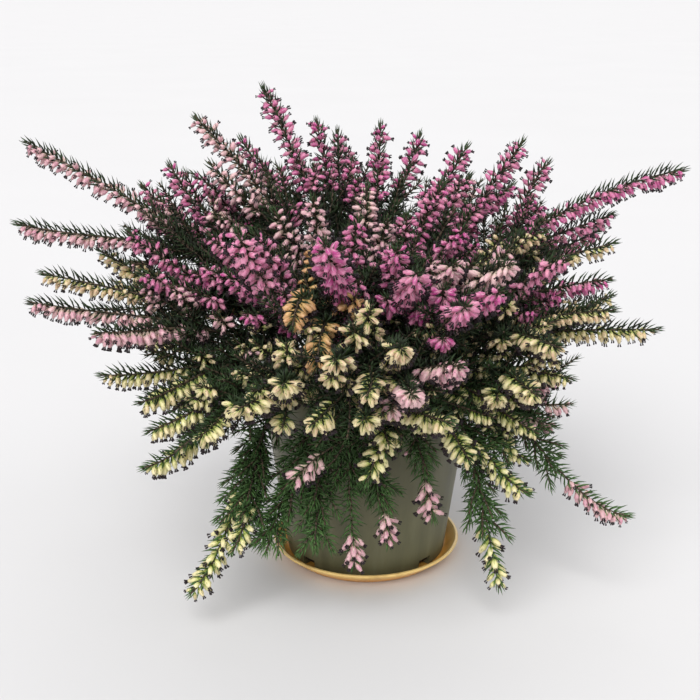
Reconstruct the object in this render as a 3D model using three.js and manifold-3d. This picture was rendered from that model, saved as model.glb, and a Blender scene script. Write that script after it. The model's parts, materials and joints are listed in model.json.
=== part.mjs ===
// Winter heath in a plastic pot on a saucer, in millimetres, +Z up.
// The origin is the middle of the saucer's underside; -Y faces the viewer and +X is to the right.
// Each leafy stem is two closed skins fused into one, its main spray and its fork: a slim
// three-sided stem whose needles and bells are drawn out of the skin's own faces.
import * as THREE from "three";
import { mergeVertices } from "three/addons/utils/BufferGeometryUtils.js";
import Module from "manifold-3d";

// Saucer
const saucerSides = 28;
const saucerRim = 54;
const saucerFoot = 44;
const saucerHeight = 9;
const saucerFloor = 2.4;
const saucerDish = 47;
const saucerWall = 1.8;

// Pot
const potSides = 24;
const potHeight = 105;
const potBaseRadius = 45.5;
const potTopRadius = 60;
const potWall = 1.8;
const potFloor = 2.6;
const lipHeight = 9;
const lipOut = 1.8;
const notchWidth = 9;
const notchHeight = 6;
const notchTurns = [45, 135, 225, 315];

// Soil and the holes that the stems stand in
const gap = 0.3;
const soilEdge = 9;
const soilRise = 4;
const holeRadius = 2.6;
const holeDepth = 6;
const rootSpread = 43;
const rootPitch = 9.6;
const overRimFrom = 50;
const roundLip = 1;

// How the sprays bend and how far they keep apart
const startRise = 0.38;
const endRun = 0.38;
const hangingRun = 0.56;
const hangingClimb = -30;
const liftOver = 26;
const leastLift = 54;
const hangingLift = 64;
const mostLift = 84;
const stemGirth = 2.4;
const girthRise = 1.7;
const groundClear = 12;
const pushShare = 0.4;
const tipPull = 0.06;
const spreadPasses = 60;

// Stems, needles and bells
const rootRadius = 1.45;
const tipRadius = 0.95;
const needleLength = 9;
const needleRoot = 1.3;
const whorlPitch = 13;
const leafPitch = 30;
const bellLength = 9.6;
const bellRadius = 4.3;
const mouthTurns = [270, 30, 150];
const bellDroop = 0.45;
const tuftBack = 3.2;
const firstBell = 9;
const tuftLean = 1.5;
const needleLean = 0.75;
const forkAt = 0.4;
const bentStep = 17;
const straightStep = 36;
const spikeRadius = 7.4;
const clearance = 0.45;
const ownClearance = 0.1;
const forkFoot = 0.55;
const fusedTolerance = 0.02;
const forkJoin = 5;
const aboveJoint = 6;
const forkBare = 14;
const leafyShare = 0.5;
const stemBarCount = 14;
const curveDivisions = 60;

// What is tried for a bell or a needle in turn: its size, and how far it swings aside
const bellTries = [[1, 0], [0.85, 0.5], [0.85, -0.5], [0.7, 0]];
const needleTries = [[1, 0], [0.8, 0.4], [0.8, -0.4], [0.6, 0]];

const potBottom = saucerFloor + gap;
const rimTop = potBottom + potHeight;
const soilTop = rimTop - soilEdge;
const wallSlope = (potTopRadius - potBaseRadius) / potHeight;
const vertical = new THREE.Vector3(0, 0, 1);

// Every row is one leafy stem: its bloom, then its main spray and its fork.
// A spray is the place of its tip, the climb of its tip in degrees, and the length in flower.
const stems = [
  // Left
  ["blush", [-183, 5, 236, 27, 90], [-186, -12, 195, 16, 82]],
  ["cream", [-168, -36, 174, 16, 56], [-151, 20, 174, 20, 40]],
  ["blush", [-169, -62, 166, 16, 64], [-130, -92, 159, 14, 76]],
  ["cream", [-133, -72, 131, 12, 46], [-111, -92, 123, 4, 48]],
  ["cream", [-107, -96, 111, 0, 30], [-81, -114, 114, 0, 26]],
  ["cream", [-113, -84, 86, 2, 44], [-108, -50, 111, 6, 40]],
  ["cream", [-90, -96, 22, -16, 56], [-68, -97, 46, -18, 26]],
  // Upper left
  ["rose", [-125, 18, 211, 46, 46], [-113, 46, 218, 46, 40]],
  ["blush", [-95, 28, 247, 44, 66], [-86, 4, 225, 50, 38]],
  ["rose", [-126, -24, 194, 44, 54], [-115, -50, 178, 30, 40]],
  ["rose", [-82, -36, 195, 44, 36], [-70, -60, 181, 50, 36]],
  ["rose", [-61, -96, 210, 66, 60], [-56, -70, 203, 52, 50]],
  // Top
  ["rose", [-57, 30, 263, 62, 60], [-73, 60, 231, 52, 40]],
  ["rose", [-29, 60, 242, 66, 40], [-17, 84, 233, 60, 40]],
  ["rose", [8, 50, 241, 60, 42], [33, 88, 230, 52, 40]],
  ["rose", [60, 70, 225, 40, 44], [90, 84, 200, 30, 36]],
  ["rose", [85, 20, 235, 48, 84], [57, 22, 215, 56, 34]],
  ["rose", [170, 5, 221, 12, 100], [136, 14, 195, 16, 46]],
  ["blush", [-49, -26, 205, 60, 40], [-28, -44, 215, 62, 42]],
  ["blush", [0, -4, 215, 74, 34], [10, -34, 202, 60, 34]],
  ["rose", [39, -14, 216, 62, 42], [48, -50, 201, 46, 34]],
  ["rose", [21, -112, 194, 30, 34], [13, -84, 198, 44, 32]],
  ["rose", [-21, -124, 211, 54, 80], [-5, -64, 209, 56, 34]],
  // Right
  ["cream", [92, -30, 195, 22, 50], [133, -8, 184, 16, 42]],
  ["rose", [124, -44, 173, 12, 50], [98, -62, 188, 22, 42]],
  ["blush", [66, -88, 192, 26, 42], [41, -84, 191, 34, 34]],
  ["rose", [61, -102, 182, 22, 34], [43, -122, 181, 24, 32]],
  ["cream", [124, -56, 160, 8, 56], [89, -100, 154, 6, 44]],
  ["cream", [151, -40, 145, 5, 80], [141, 22, 147, 8, 46]],
  ["cream", [101, -72, 129, 2, 66], [78, -108, 133, 0, 38]],
  ["cream", [85, -78, 102, -2, 56], [84, -66, 82, 0, 44]],
  ["blush", [137, -66, 51, 8, 34], [99, -20, 103, 0, 40]],
  ["cream", [81, -84, 72, 4, 34], [67, -88, 21, -66, 30]],
  // Front
  ["dried", [-22, -124, 149, -55, 36], [-35, -117, 168, -36, 26]],
  ["cream", [-18, -146, 163, 20, 26], [-3, -148, 148, 12, 24]],
  ["cream", [13, -142, 167, 20, 26], [-26, -144, 133, 8, 26]],
  ["cream", [-58, -136, 138, 10, 32], [-38, -140, 150, 14, 28]],
  ["blush", [18, -146, 147, 10, 34], [40, -130, 155, 14, 34]],
  ["cream", [-5, -140, 135, 2, 40], [36, -132, 129, 0, 44]],
  ["cream", [47, -112, 102, -4, 40], [-1, -108, 89, -60, 28]],
  ["blush", [-7, -88, 32, -66, 16], [10, -86, 44, -62, 14]],
  ["blush", [33, -84, 57, -64, 18], [-38, -104, 86, -40, 18]],
  ["leafy", [-27, -90, 44, -60, 0], [-56, -86, 42, -52, 0]],
];

// The back is filled by a rule, from the left round to the right.
const backStems = 9;
const backStart = 14;
const backStep = 19;
const backClimbs = [34, 6, 20, -12];
const forkClimb = 16;
const forkTurn = 8;
const backReach = 152;
const reachScatter = 22;
const climbScatter = 6;
const tipSag = 8;
const backFlower = 34;
const flowerScatter = 14;

const colours = {
  rose: 0xb04a86,
  blush: 0xc98fa6,
  cream: 0xcfc79a,
  dried: 0xb58a5c,
  leafy: 0x3c4f2c,
};

const wasm = await Module();
wasm.setup();

// Random numbers that are the same on every run.
function seeded(seed) {
  let state = seed;
  return function next() {
    state = (state * 16807) % 2147483647;
    return state / 2147483647;
  };
}

function radians(degrees) {
  return (degrees * Math.PI) / 180;
}

// A direction from its turn about Z and its climb, both in degrees.
function heading(turn, climb) {
  const flat = Math.cos(radians(climb));
  return new THREE.Vector3(
    flat * Math.cos(radians(turn)),
    flat * Math.sin(radians(turn)),
    Math.sin(radians(climb)),
  );
}

function turnOf(vector) {
  return (Math.atan2(vector.y, vector.x) * 180) / Math.PI;
}

function climbOf(vector) {
  return (Math.atan2(vector.z, Math.hypot(vector.x, vector.y)) * 180) / Math.PI;
}

function bloomAt(climb) {
  if (climb > 28) return "rose";
  return climb > 12 ? "blush" : "cream";
}

// The rows of the back, with a little seeded scatter in turn, climb and reach.
function backRows() {
  const draw = seeded(4711);
  const rows = [];
  for (let index = 0; index < backStems; index += 1) {
    const turn = backStart + backStep * index;
    const climb = backClimbs[index % backClimbs.length] + climbScatter * (draw() - 0.5);
    const sprays = [[turn, climb], [turn + forkTurn, climb + forkClimb]].map(([side, rise]) => {
      const reach = backReach + reachScatter * (draw() - 0.5) + 0.2 * rise;
      const tip = heading(side, rise).multiplyScalar(reach);
      return [tip.x, tip.y, tip.z + soilTop, rise - tipSag, backFlower + flowerScatter * draw()];
    });
    rows.push([bloomAt(climb), ...sprays]);
  }
  return rows;
}

function soilHeight(radius) {
  return soilTop + soilRise * (1 - radius / potTopRadius);
}

// Roots: the steepest stems stand in the middle and the lowest at the edge, kept a pitch apart.
function rootPlaces(rows) {
  const crown = new THREE.Vector3(0, 0, soilTop);
  const aims = rows.map((row) => new THREE.Vector3(...row[1].slice(0, 3)).sub(crown));
  const order = aims.map((aim, index) => index).sort((a, b) => climbOf(aims[b]) - climbOf(aims[a]));
  const places = [];
  order.forEach((index, rank) => {
    const radius = rootSpread * Math.sqrt((rank + 0.5) / rows.length);
    places[index] = heading(turnOf(aims[index]), 0).multiplyScalar(radius);
  });
  for (let pass = 0; pass < 300; pass += 1) {
    for (let a = 0; a < places.length; a += 1) {
      for (let b = a + 1; b < places.length; b += 1) {
        const apart = places[a].clone().sub(places[b]);
        const short = rootPitch - apart.length();
        if (short > 0) {
          apart.setLength(short / 2);
          places[a].add(apart);
          places[b].sub(apart);
        }
      }
      places[a].clampLength(0, rootSpread);
    }
  }
  return places.map((place) => place.setZ(soilHeight(place.length()) + 1));
}

// The four control points of a spray's curve.
function controlPoints(start, tip, away, climb) {
  const reach = tip.clone().sub(start);
  const length = reach.length();
  const end = heading(turnOf(reach), climb);
  const run = climb < hangingClimb ? hangingRun : endRun;
  return [
    start.clone(),
    start.clone().addScaledVector(away, startRise * length),
    tip.clone().addScaledVector(end, -run * length),
    tip.clone(),
  ];
}

function bezierWeights(t) {
  const s = 1 - t;
  return [s * s * s, 3 * s * s * t, 3 * s * t * t, t * t * t];
}

function bezierPoint(points, t) {
  const weights = bezierWeights(t);
  const point = new THREE.Vector3();
  points.forEach((control, index) => point.addScaledVector(control, weights[index]));
  return point;
}

// Sprays before they are spread apart: each stem's main spray, then its fork.
function draftSprays(rows, roots) {
  const sprays = [];
  rows.forEach((row, stem) => {
    const [main, fork] = row.slice(1);
    const mainTip = new THREE.Vector3(...main.slice(0, 3));
    const chord = mainTip.clone().sub(roots[stem]);
    const least = mainTip.z < rimTop ? hangingLift : leastLift;
    const lift = Math.min(mostLift, Math.max(climbOf(chord) + liftOver, least));
    const mainPoints = controlPoints(roots[stem], mainTip, heading(turnOf(chord), lift), main[3]);
    sprays.push({ stem, bloom: main[4], points: mainPoints, tip: mainTip, parent: null });
    const start = bezierPoint(mainPoints, forkAt);
    const forkTip = new THREE.Vector3(...fork.slice(0, 3));
    const along = bezierPoint(mainPoints, forkAt + 0.05).sub(start).normalize();
    const aim = forkTip.clone().sub(start).normalize().add(along).normalize();
    const forkPoints = controlPoints(start, forkTip, aim, fork[3]);
    const parent = sprays.length - 1;
    sprays.push({ stem, bloom: fork[4], points: forkPoints, tip: forkTip, parent });
  });
  return sprays;
}

// How far a point of a spray must keep from the pot's wall and rim, as a push away from it.
function potPush(point, keep) {
  const radius = Math.hypot(point.x, point.y);
  const wall = potTopRadius + lipOut - potBaseRadius;
  const rise = rimTop - potBottom;
  const along = (radius - potBaseRadius) * wall + (point.z - potBottom) * rise;
  const t = Math.min(1, Math.max(0, along / (wall * wall + rise * rise)));
  const outR = radius - (potBaseRadius + wall * t);
  const outZ = point.z - (potBottom + rise * t);
  const distance = Math.hypot(outR, outZ);
  const overRim = rimTop + keep - point.z;
  if (outR < 0 && overRim > 0 && radius > overRimFrom) return new THREE.Vector3(0, 0, overRim);
  if (distance >= keep || distance === 0) return null;
  const share = (keep - distance) / distance;
  const outwards = (outR * share) / radius;
  return new THREE.Vector3(point.x * outwards, point.y * outwards, outZ * share);
}

// Sprays that come too close push each other apart, and off the pot, a little at a time.
function spreadSprays(sprays) {
  const count = 10;
  const steps = Array.from({ length: count }, (_, index) => (index + 1) / count);
  const weights = steps.map(bezierWeights);
  const girth = steps.map((t) => stemGirth + (spikeRadius - stemGirth) * Math.min(1, t * girthRise));
  for (let pass = 0; pass < spreadPasses; pass += 1) {
    const samples = sprays.map((spray) => steps.map((t) => bezierPoint(spray.points, t)));
    const pushes = sprays.map(() => steps.map(() => new THREE.Vector3()));
    for (let a = 0; a < sprays.length; a += 1) {
      for (let b = a + 1; b < sprays.length; b += 1) {
        const first = sprays[a].stem === sprays[b].stem ? count / 2 : 0;
        for (let i = first; i < count; i += 1) {
          for (let j = first; j < count; j += 1) {
            const apart = samples[a][i].clone().sub(samples[b][j]);
            const distance = apart.length();
            const short = girth[i] + girth[j] - distance;
            if (short > 0) {
              apart.multiplyScalar(short / 2 / distance);
              pushes[a][i].add(apart);
              pushes[b][j].sub(apart);
            }
          }
        }
      }
      for (let i = 0; i < count; i += 1) {
        const push = potPush(samples[a][i], girth[i] + 1);
        if (push) pushes[a][i].add(push);
        const low = groundClear - samples[a][i].z;
        if (low > 0) pushes[a][i].z += low;
      }
    }
    sprays.forEach((spray, index) => {
      for (let control = 1; control < 4; control += 1) {
        for (let i = 0; i < count; i += 1) {
          spray.points[control].addScaledVector(pushes[index][i], pushShare * weights[i][control]);
        }
      }
      spray.points[3].lerp(spray.tip, tipPull);
      if (spray.parent !== null) {
        const start = bezierPoint(sprays[spray.parent].points, forkAt);
        spray.points[1].add(start).sub(spray.points[0]);
        spray.points[0].copy(start);
      }
    });
  }
}

// A straight bar round which a needle, a bell or a length of stem lies, used to keep pieces apart.
function barDistance(first, second) {
  const u = first.to.clone().sub(first.from);
  const v = second.to.clone().sub(second.from);
  const w = first.from.clone().sub(second.from);
  const a = u.dot(u);
  const b = u.dot(v);
  const c = v.dot(v);
  const d = u.dot(w);
  const e = v.dot(w);
  const det = a * c - b * b;
  let s = det > 1e-9 ? Math.min(1, Math.max(0, (b * e - c * d) / det)) : 0;
  const t = Math.min(1, Math.max(0, (b * s + e) / c));
  s = Math.min(1, Math.max(0, (b * t - d) / a));
  return w.addScaledVector(u, s).addScaledVector(v, -t).length() - first.radius - second.radius;
}

function makeBar(stem, from, to, radius) {
  const middle = from.clone().add(to).multiplyScalar(0.5);
  return { stem, from, to, radius, middle, reach: from.distanceTo(to) / 2 + radius };
}

// True where none of the new bars comes near a bar that is already placed, the pot or the ground.
function isClear(bars, placed) {
  for (const bar of bars) {
    if (Math.min(bar.from.z, bar.to.z) - bar.radius < 3) return false;
    if ([bar.from, bar.to].some((point) => potPush(point, bar.radius + potWall + 1.2))) return false;
    for (const other of placed) {
      const room = bar.stem === other.stem ? ownClearance : clearance;
      const far = bar.reach + other.reach + room;
      if (bar.middle.distanceToSquared(other.middle) < far * far) {
        if (bar.stem === other.stem && other.isStem) continue;
        if (barDistance(bar, other) < room) return false;
      }
    }
  }
  return true;
}

// The skin of one leafy stem, as shared points and triangles.
class Skin {
  constructor() {
    this.points = [];
    this.triangles = [];
  }

  point(place) {
    this.points.push(place);
    return this.points.length - 1;
  }

  face(a, b, c) {
    this.triangles.push(a, b, c);
  }

  geometry() {
    const geometry = new THREE.BufferGeometry();
    const flat = this.points.flatMap((place) => [place.x, place.y, place.z]);
    geometry.setAttribute("position", new THREE.Float32BufferAttribute(flat, 3));
    geometry.setIndex(this.triangles);
    geometry.computeVertexNormals();
    return geometry;
  }
}

// A ring of three corners across the stem; the face between its first two corners looks up.
function ringAt(skin, curve, at, radius) {
  const centre = curve.place(at);
  const { ahead, side, top } = curve.frame(at);
  const corners = [-60, 60, 180].map((degrees) => {
    const place = centre.clone();
    place.addScaledVector(top, radius * Math.cos(radians(degrees)));
    place.addScaledVector(side, radius * Math.sin(radians(degrees)));
    return skin.point(place);
  });
  return { corners, centre, ahead, side, top, radius };
}

// A spray's curve by length, with a frame whose top looks up where the spray lies level.
function curveOf(spray) {
  const bezier = new THREE.CubicBezierCurve3(...spray.points);
  bezier.arcLengthDivisions = curveDivisions;
  const length = bezier.getLength();
  const run = spray.points[3].clone().sub(spray.points[0]).setZ(0).normalize();
  const across = run.clone().cross(vertical);
  return {
    length,
    place: (at) => bezier.getPointAt(Math.min(1, Math.max(0, at / length))),
    frame: (at) => {
      const ahead = bezier.getTangentAt(Math.min(1, Math.max(0, at / length)));
      const side = across.clone().addScaledVector(ahead, -across.dot(ahead)).normalize();
      return { ahead, side, top: side.clone().cross(ahead) };
    },
  };
}

// What a whorl carries on its three faces, worked out along the spray from the tip back.
function whorlsOf(spray, length) {
  const whorls = [{ at: length - tuftBack, kind: "tuft" }];
  const lowest = spray.joint ? spray.joint + aboveJoint : forkBare;
  const lastBell = Math.max(lowest, length - firstBell - spray.bloom);
  let at = length - firstBell;
  while (spray.bloom > 0 && at > lastBell) {
    whorls.push({ at, kind: "bells" });
    at -= whorlPitch;
  }
  const spacing = spray.bloom > 0 ? leafPitch : leafyShare * leafPitch;
  while (at > lowest) {
    whorls.push({ at, kind: "needles" });
    at -= spacing;
  }
  return whorls.reverse();
}

function faceOut(ring, face) {
  const turn = radians(120 * face);
  return ring.top.clone().multiplyScalar(Math.cos(turn)).addScaledVector(ring.side, Math.sin(turn));
}

// The four corners of the face between two rings, and its middle.
function rootOf(skin, lower, upper, face) {
  const next = (face + 1) % 3;
  const corners = [lower.corners[face], lower.corners[next], upper.corners[next], upper.corners[face]];
  const middle = new THREE.Vector3();
  corners.forEach((corner) => middle.addScaledVector(skin.points[corner], 0.25));
  return { corners, middle };
}

function closeFace(skin, corners) {
  skin.face(corners[0], corners[1], corners[2]);
  skin.face(corners[0], corners[2], corners[3]);
}

// A needle is the root face drawn out to a point.
function addNeedle(skin, root, away, length, stem, placed) {
  const tip = root.middle.clone().addScaledVector(away, length);
  const bar = makeBar(stem, root.middle.clone().addScaledVector(away, 1.6), tip, 0.6);
  if (!isClear([bar], placed)) return false;
  placed.push(bar);
  const point = skin.point(tip);
  for (let index = 0; index < 4; index += 1) {
    skin.face(root.corners[index], root.corners[(index + 1) % 4], point);
  }
  return true;
}

// The skin from a four-cornered root to three corners, the first of them below the root.
function narrowToThree(skin, [a, b, c, d], [x, y, z]) {
  const faces = [[a, b, x], [b, y, x], [b, c, y], [c, z, y], [c, d, z], [d, a, z], [a, x, z]];
  faces.forEach((face) => skin.face(...face));
}

// A bell is the root face drawn out and widened to its three-cornered mouth.
function addBell(skin, root, away, length, radius, stem, placed) {
  const mouth = root.middle.clone().addScaledVector(away, length);
  const throat = root.middle.clone().addScaledVector(away, 0.62 * length);
  const neck = root.middle.clone().addScaledVector(away, 0.3 * length);
  const bars = [makeBar(stem, throat, mouth, 0.93 * radius), makeBar(stem, neck, throat, 0.62 * radius)];
  if (!isClear(bars, placed)) return false;
  placed.push(...bars);
  const wide = skin.points[root.corners[1]].clone().sub(skin.points[root.corners[0]]);
  wide.addScaledVector(away, -wide.dot(away)).normalize();
  const tall = away.clone().cross(wide);
  const [x, y, z] = mouthTurns.map((turn) => {
    const corner = mouth.clone().addScaledVector(wide, radius * Math.cos(radians(turn)));
    return skin.point(corner.addScaledVector(tall, radius * Math.sin(radians(turn))));
  });
  narrowToThree(skin, root.corners, [x, y, z]);
  skin.face(x, y, z);
  return true;
}

// The face of a whorl: a needle, a bell, or plain where neither has room.
function dressFace(skin, root, ring, face, kind, level, draw, stem, placed) {
  const out = faceOut(ring, face + 0.5);
  const scatter = (amount) => amount * (draw() - 0.5);
  if (kind === "bell") {
    for (const [scale, turn] of bellTries) {
      const away = out.clone().addScaledVector(ring.ahead, 0.3 + scatter(0.3));
      away.addScaledVector(ring.side, turn * level + scatter(0.3));
      away.addScaledVector(ring.top, turn * (1 - level));
      away.z -= bellDroop;
      away.normalize();
      const size = scale * (0.94 + 0.12 * draw());
      if (addBell(skin, root, away, size * bellLength, size * bellRadius, stem, placed)) return;
    }
  }
  const lean = kind === "tuft" ? tuftLean : needleLean;
  for (const [scale, turn] of needleTries) {
    const away = out.clone().addScaledVector(ring.ahead, lean + scatter(0.4));
    away.addScaledVector(ring.side, turn + scatter(0.3)).normalize();
    if (addNeedle(skin, root, away, scale * needleLength * (0.85 + 0.3 * draw()), stem, placed)) return;
  }
  closeFace(skin, root.corners);
}

// Lower and upper ring of the whole length between two whorls.
function plainBand(skin, lower, upper) {
  for (let face = 0; face < 3; face += 1) closeFace(skin, rootOf(skin, lower, upper, face).corners);
}

// Stem bars of a spray, so that no other stem's needles or bells run through it.
function stemBars(spray, curve) {
  const bars = [];
  for (let index = 0; index < stemBarCount; index += 1) {
    const from = curve.place((curve.length * index) / stemBarCount);
    const to = curve.place((curve.length * (index + 1)) / stemBarCount);
    bars.push({ ...makeBar(spray.stem, from, to, rootRadius), isStem: true });
  }
  return bars;
}

// One spray, from the ring that it starts at to its pointed tip.
function growSpray(skin, spray, first, from, placed, draw) {
  const { curve, stem } = spray;
  const whorls = whorlsOf(spray, curve.length);
  const girth = (at) => rootRadius + (tipRadius - rootRadius) * (at / curve.length);
  let ring = first;
  let at = from;
  const advance = (to) => {
    const upper = ringAt(skin, curve, to, girth(to));
    const lower = ring;
    ring = upper;
    at = to;
    return [lower, upper];
  };
  // Bare stem is laid in steps short enough to follow the bend over the rim.
  const step = spray.tip.z < rimTop ? bentStep : straightStep;
  const runTo = (to) => {
    const count = Math.ceil((to - at) / step);
    const start = at;
    for (let index = 1; index <= count; index += 1) {
      plainBand(skin, ...advance(start + ((to - start) * index) / count));
    }
  };
  if (spray.joint) runTo(spray.joint);
  whorls.forEach((whorl, index) => {
    runTo(whorl.at - needleRoot / 2);
    const [lower, upper] = advance(whorl.at + needleRoot / 2);
    const level = Math.abs(lower.ahead.z) < 0.75 ? 1 : 0;
    const bare = level ? 0 : index % 3;
    for (let face = 0; face < 3; face += 1) {
      const kind = whorl.kind === "bells" && face !== bare ? "bell" : whorl.kind;
      dressFace(skin, rootOf(skin, lower, upper, face), lower, face, kind, level, draw, stem, placed);
    }
  });
  const tip = skin.point(curve.place(curve.length).addScaledVector(ring.ahead, 1));
  for (let face = 0; face < 3; face += 1) skin.face(ring.corners[face], ring.corners[(face + 1) % 3], tip);
  return asSolid(skin.geometry());
}

function closeStart(skin, [a, b, c]) {
  skin.face(a, c, b);
}

// The main spray, from its foot in the soil.
function growMain(main, placed, draw) {
  const skin = new Skin();
  const foot = ringAt(skin, main.curve, 0, rootRadius);
  const buried = foot.corners.map((corner) => {
    const place = skin.points[corner].clone();
    place.z = main.points[0].z - 1 - holeDepth + gap;
    return skin.point(place);
  });
  closeStart(skin, buried);
  plainBand(skin, { ...foot, corners: buried }, foot);
  return growSpray(skin, main, foot, 0, placed, draw);
}

// The fork, from a slim foot that is sunk in the main spray's stem.
function growFork(fork, placed, draw) {
  const skin = new Skin();
  const foot = ringAt(skin, fork.curve, 0, forkFoot);
  const first = ringAt(skin, fork.curve, forkJoin, rootRadius);
  closeStart(skin, foot.corners);
  plainBand(skin, foot, first);
  return growSpray(skin, fork, first, forkJoin, placed, draw);
}

// Solids of revolution, turned so that their axis is Z.
function turned(profile, sides) {
  const points = profile.map(([radius, height]) => new THREE.Vector2(radius, height));
  const geometry = new THREE.LatheGeometry(points, sides);
  geometry.rotateX(Math.PI / 2);
  geometry.deleteAttribute("normal");
  geometry.deleteAttribute("uv");
  return mergeVertices(geometry, 1e-3);
}

function asSolid(geometry) {
  const vertProperties = new Float32Array(geometry.attributes.position.array);
  const triVerts = new Uint32Array(geometry.index.array);
  return new wasm.Manifold(new wasm.Mesh({ numProp: 3, vertProperties, triVerts }));
}

function asGeometry(manifold) {
  const mesh = manifold.getMesh();
  const geometry = new THREE.BufferGeometry();
  geometry.setAttribute("position", new THREE.Float32BufferAttribute(mesh.vertProperties, 3));
  geometry.setIndex(Array.from(mesh.triVerts));
  geometry.computeVertexNormals();
  return geometry;
}

// An upright or lying prism for a hole or a notch.
function prism(outline, height, base) {
  const shape = new THREE.Shape(outline.map(([x, y]) => new THREE.Vector2(x, y)));
  const geometry = new THREE.ExtrudeGeometry(shape, { depth: height, bevelEnabled: false });
  geometry.translate(0, 0, base);
  geometry.deleteAttribute("normal");
  geometry.deleteAttribute("uv");
  return mergeVertices(geometry, 1e-3);
}

function makeSaucer() {
  return turned([
    [0, 0],
    [saucerFoot, 0],
    [saucerRim, saucerHeight - roundLip],
    [saucerRim, saucerHeight],
    [saucerRim - saucerWall, saucerHeight],
    [saucerDish, saucerFloor],
    [0, saucerFloor],
  ], saucerSides);
}

function makePot() {
  const outer = (height) => potBaseRadius + wallSlope * height;
  const shoulder = potHeight - lipHeight;
  let pot = asSolid(turned([
    [0, 0],
    [outer(0), 0],
    [outer(shoulder), shoulder],
    [outer(shoulder) + lipOut, shoulder + roundLip],
    [outer(potHeight) + lipOut, potHeight],
    [outer(potHeight) - potWall, potHeight],
    [outer(potFloor) - potWall, potFloor],
    [0, potFloor],
  ], potSides));
  const half = notchWidth / 2;
  const inner = potBaseRadius - 8;
  const outline = [[inner, -half], [potBaseRadius + 6, -half], [potBaseRadius + 6, half], [inner, half]];
  for (const turn of notchTurns) {
    const notch = prism(outline, notchHeight + 2, -2);
    notch.rotateZ(radians(turn));
    pot = pot.subtract(asSolid(notch));
  }
  const geometry = asGeometry(pot);
  geometry.translate(0, 0, potBottom);
  return geometry;
}

function makeSoil(roots) {
  const inner = (height) => potBaseRadius + wallSlope * (height - potBottom) - potWall - gap;
  const low = potBottom + potFloor + gap;
  let soil = asSolid(turned([
    [0, low],
    [inner(low), low],
    [inner(soilTop), soilTop],
    [0, soilTop + soilRise],
  ], potSides));
  const outline = [[holeRadius, 0], [0, holeRadius], [-holeRadius, 0], [0, -holeRadius]];
  for (const root of roots) {
    const hole = prism(outline, holeDepth + 8, root.z - 1 - holeDepth);
    hole.translate(root.x, root.y, 0);
    soil = soil.subtract(asSolid(hole));
  }
  return asGeometry(soil);
}

function addMesh(group, name, geometry, colour, roughness) {
  const material = new THREE.MeshStandardMaterial({ color: colour, roughness, metalness: 0 });
  const mesh = new THREE.Mesh(geometry, material);
  mesh.name = name;
  group.add(mesh);
}

const rows = [...stems, ...backRows()];
const roots = rootPlaces(rows);
const sprays = draftSprays(rows, roots);
spreadSprays(sprays);
for (const spray of sprays) spray.curve = curveOf(spray);

const group = new THREE.Group();
addMesh(group, "saucer", makeSaucer(), 0xd99a3a, 0.4);
addMesh(group, "pot", makePot(), 0x77775f, 0.6);
addMesh(group, "soil", makeSoil(roots), 0x2b2019, 0.95);

const placed = sprays.flatMap((spray) => stemBars(spray, spray.curve));
rows.forEach((row, stem) => {
  const [main, fork] = sprays.filter((spray) => spray.stem === stem);
  const lengths = new THREE.CubicBezierCurve3(...main.points).getLengths(curveDivisions);
  main.joint = lengths[Math.round(forkAt * curveDivisions)];
  const draw = seeded(101 + 977 * stem);
  const whole = growMain(main, placed, draw).add(growFork(fork, placed, draw)).simplify(fusedTolerance);
  const number = String(stem + 1).padStart(2, "0");
  addMesh(group, `${row[0]}_stem_${number}`, asGeometry(whole), colours[row[0]], 0.7);
});

export default group;
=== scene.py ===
"""Potted winter heath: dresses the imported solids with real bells, needles, bark, plastic and soil."""

import json
import logging
import math
from collections.abc import Callable
from dataclasses import dataclass
from enum import Enum

import bpy
import numpy as np
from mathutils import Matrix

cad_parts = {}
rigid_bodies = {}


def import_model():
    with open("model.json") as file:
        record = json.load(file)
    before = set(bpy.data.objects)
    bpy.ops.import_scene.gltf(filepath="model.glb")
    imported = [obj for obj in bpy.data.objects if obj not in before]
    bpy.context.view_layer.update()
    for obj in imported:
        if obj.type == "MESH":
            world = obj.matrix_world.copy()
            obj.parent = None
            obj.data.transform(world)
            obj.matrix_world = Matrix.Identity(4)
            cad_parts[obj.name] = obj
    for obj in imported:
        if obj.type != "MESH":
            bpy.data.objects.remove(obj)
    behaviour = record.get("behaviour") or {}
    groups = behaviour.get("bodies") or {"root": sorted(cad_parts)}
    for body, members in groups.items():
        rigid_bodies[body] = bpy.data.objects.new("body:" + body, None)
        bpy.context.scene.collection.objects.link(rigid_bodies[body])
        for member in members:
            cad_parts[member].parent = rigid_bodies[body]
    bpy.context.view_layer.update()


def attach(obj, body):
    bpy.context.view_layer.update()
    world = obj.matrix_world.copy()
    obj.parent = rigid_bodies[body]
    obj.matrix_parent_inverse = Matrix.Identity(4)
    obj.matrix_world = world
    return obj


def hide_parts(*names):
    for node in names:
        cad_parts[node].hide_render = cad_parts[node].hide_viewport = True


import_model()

log = logging.getLogger("heath")
MM = 0.001
GOLDEN = math.radians(137.508)
Colour = tuple[float, float, float]
Vector = tuple[float, float, float]
Places = tuple[float, ...]
Outline = tuple[tuple[float, float], ...]
Plan = tuple[float, float, float, float, float]


class Bloom(Enum):
    """The colour that a stem's bells have."""

    ROSE = "rose"
    BLUSH = "blush"
    CREAM = "cream"
    DRIED = "dried"
    LEAFY = "leafy"


class Part(Enum):
    """What a face of a bell belongs to, as its material's place in the piece."""

    PETALS = 0
    SEPALS = 1
    ANTHERS = 2


@dataclass(frozen=True)
class Row:
    """One leafy stem: its bloom and its two sprays.

    Attributes:
        bloom: The colour of its bells.
        main: Its main spray: X, Y and Z of the tip in mm, the tip's climb in degrees and the
            length in flower in mm.
        fork: Its fork, in the same way.
    """

    bloom: Bloom
    main: Plan
    fork: Plan


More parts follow.
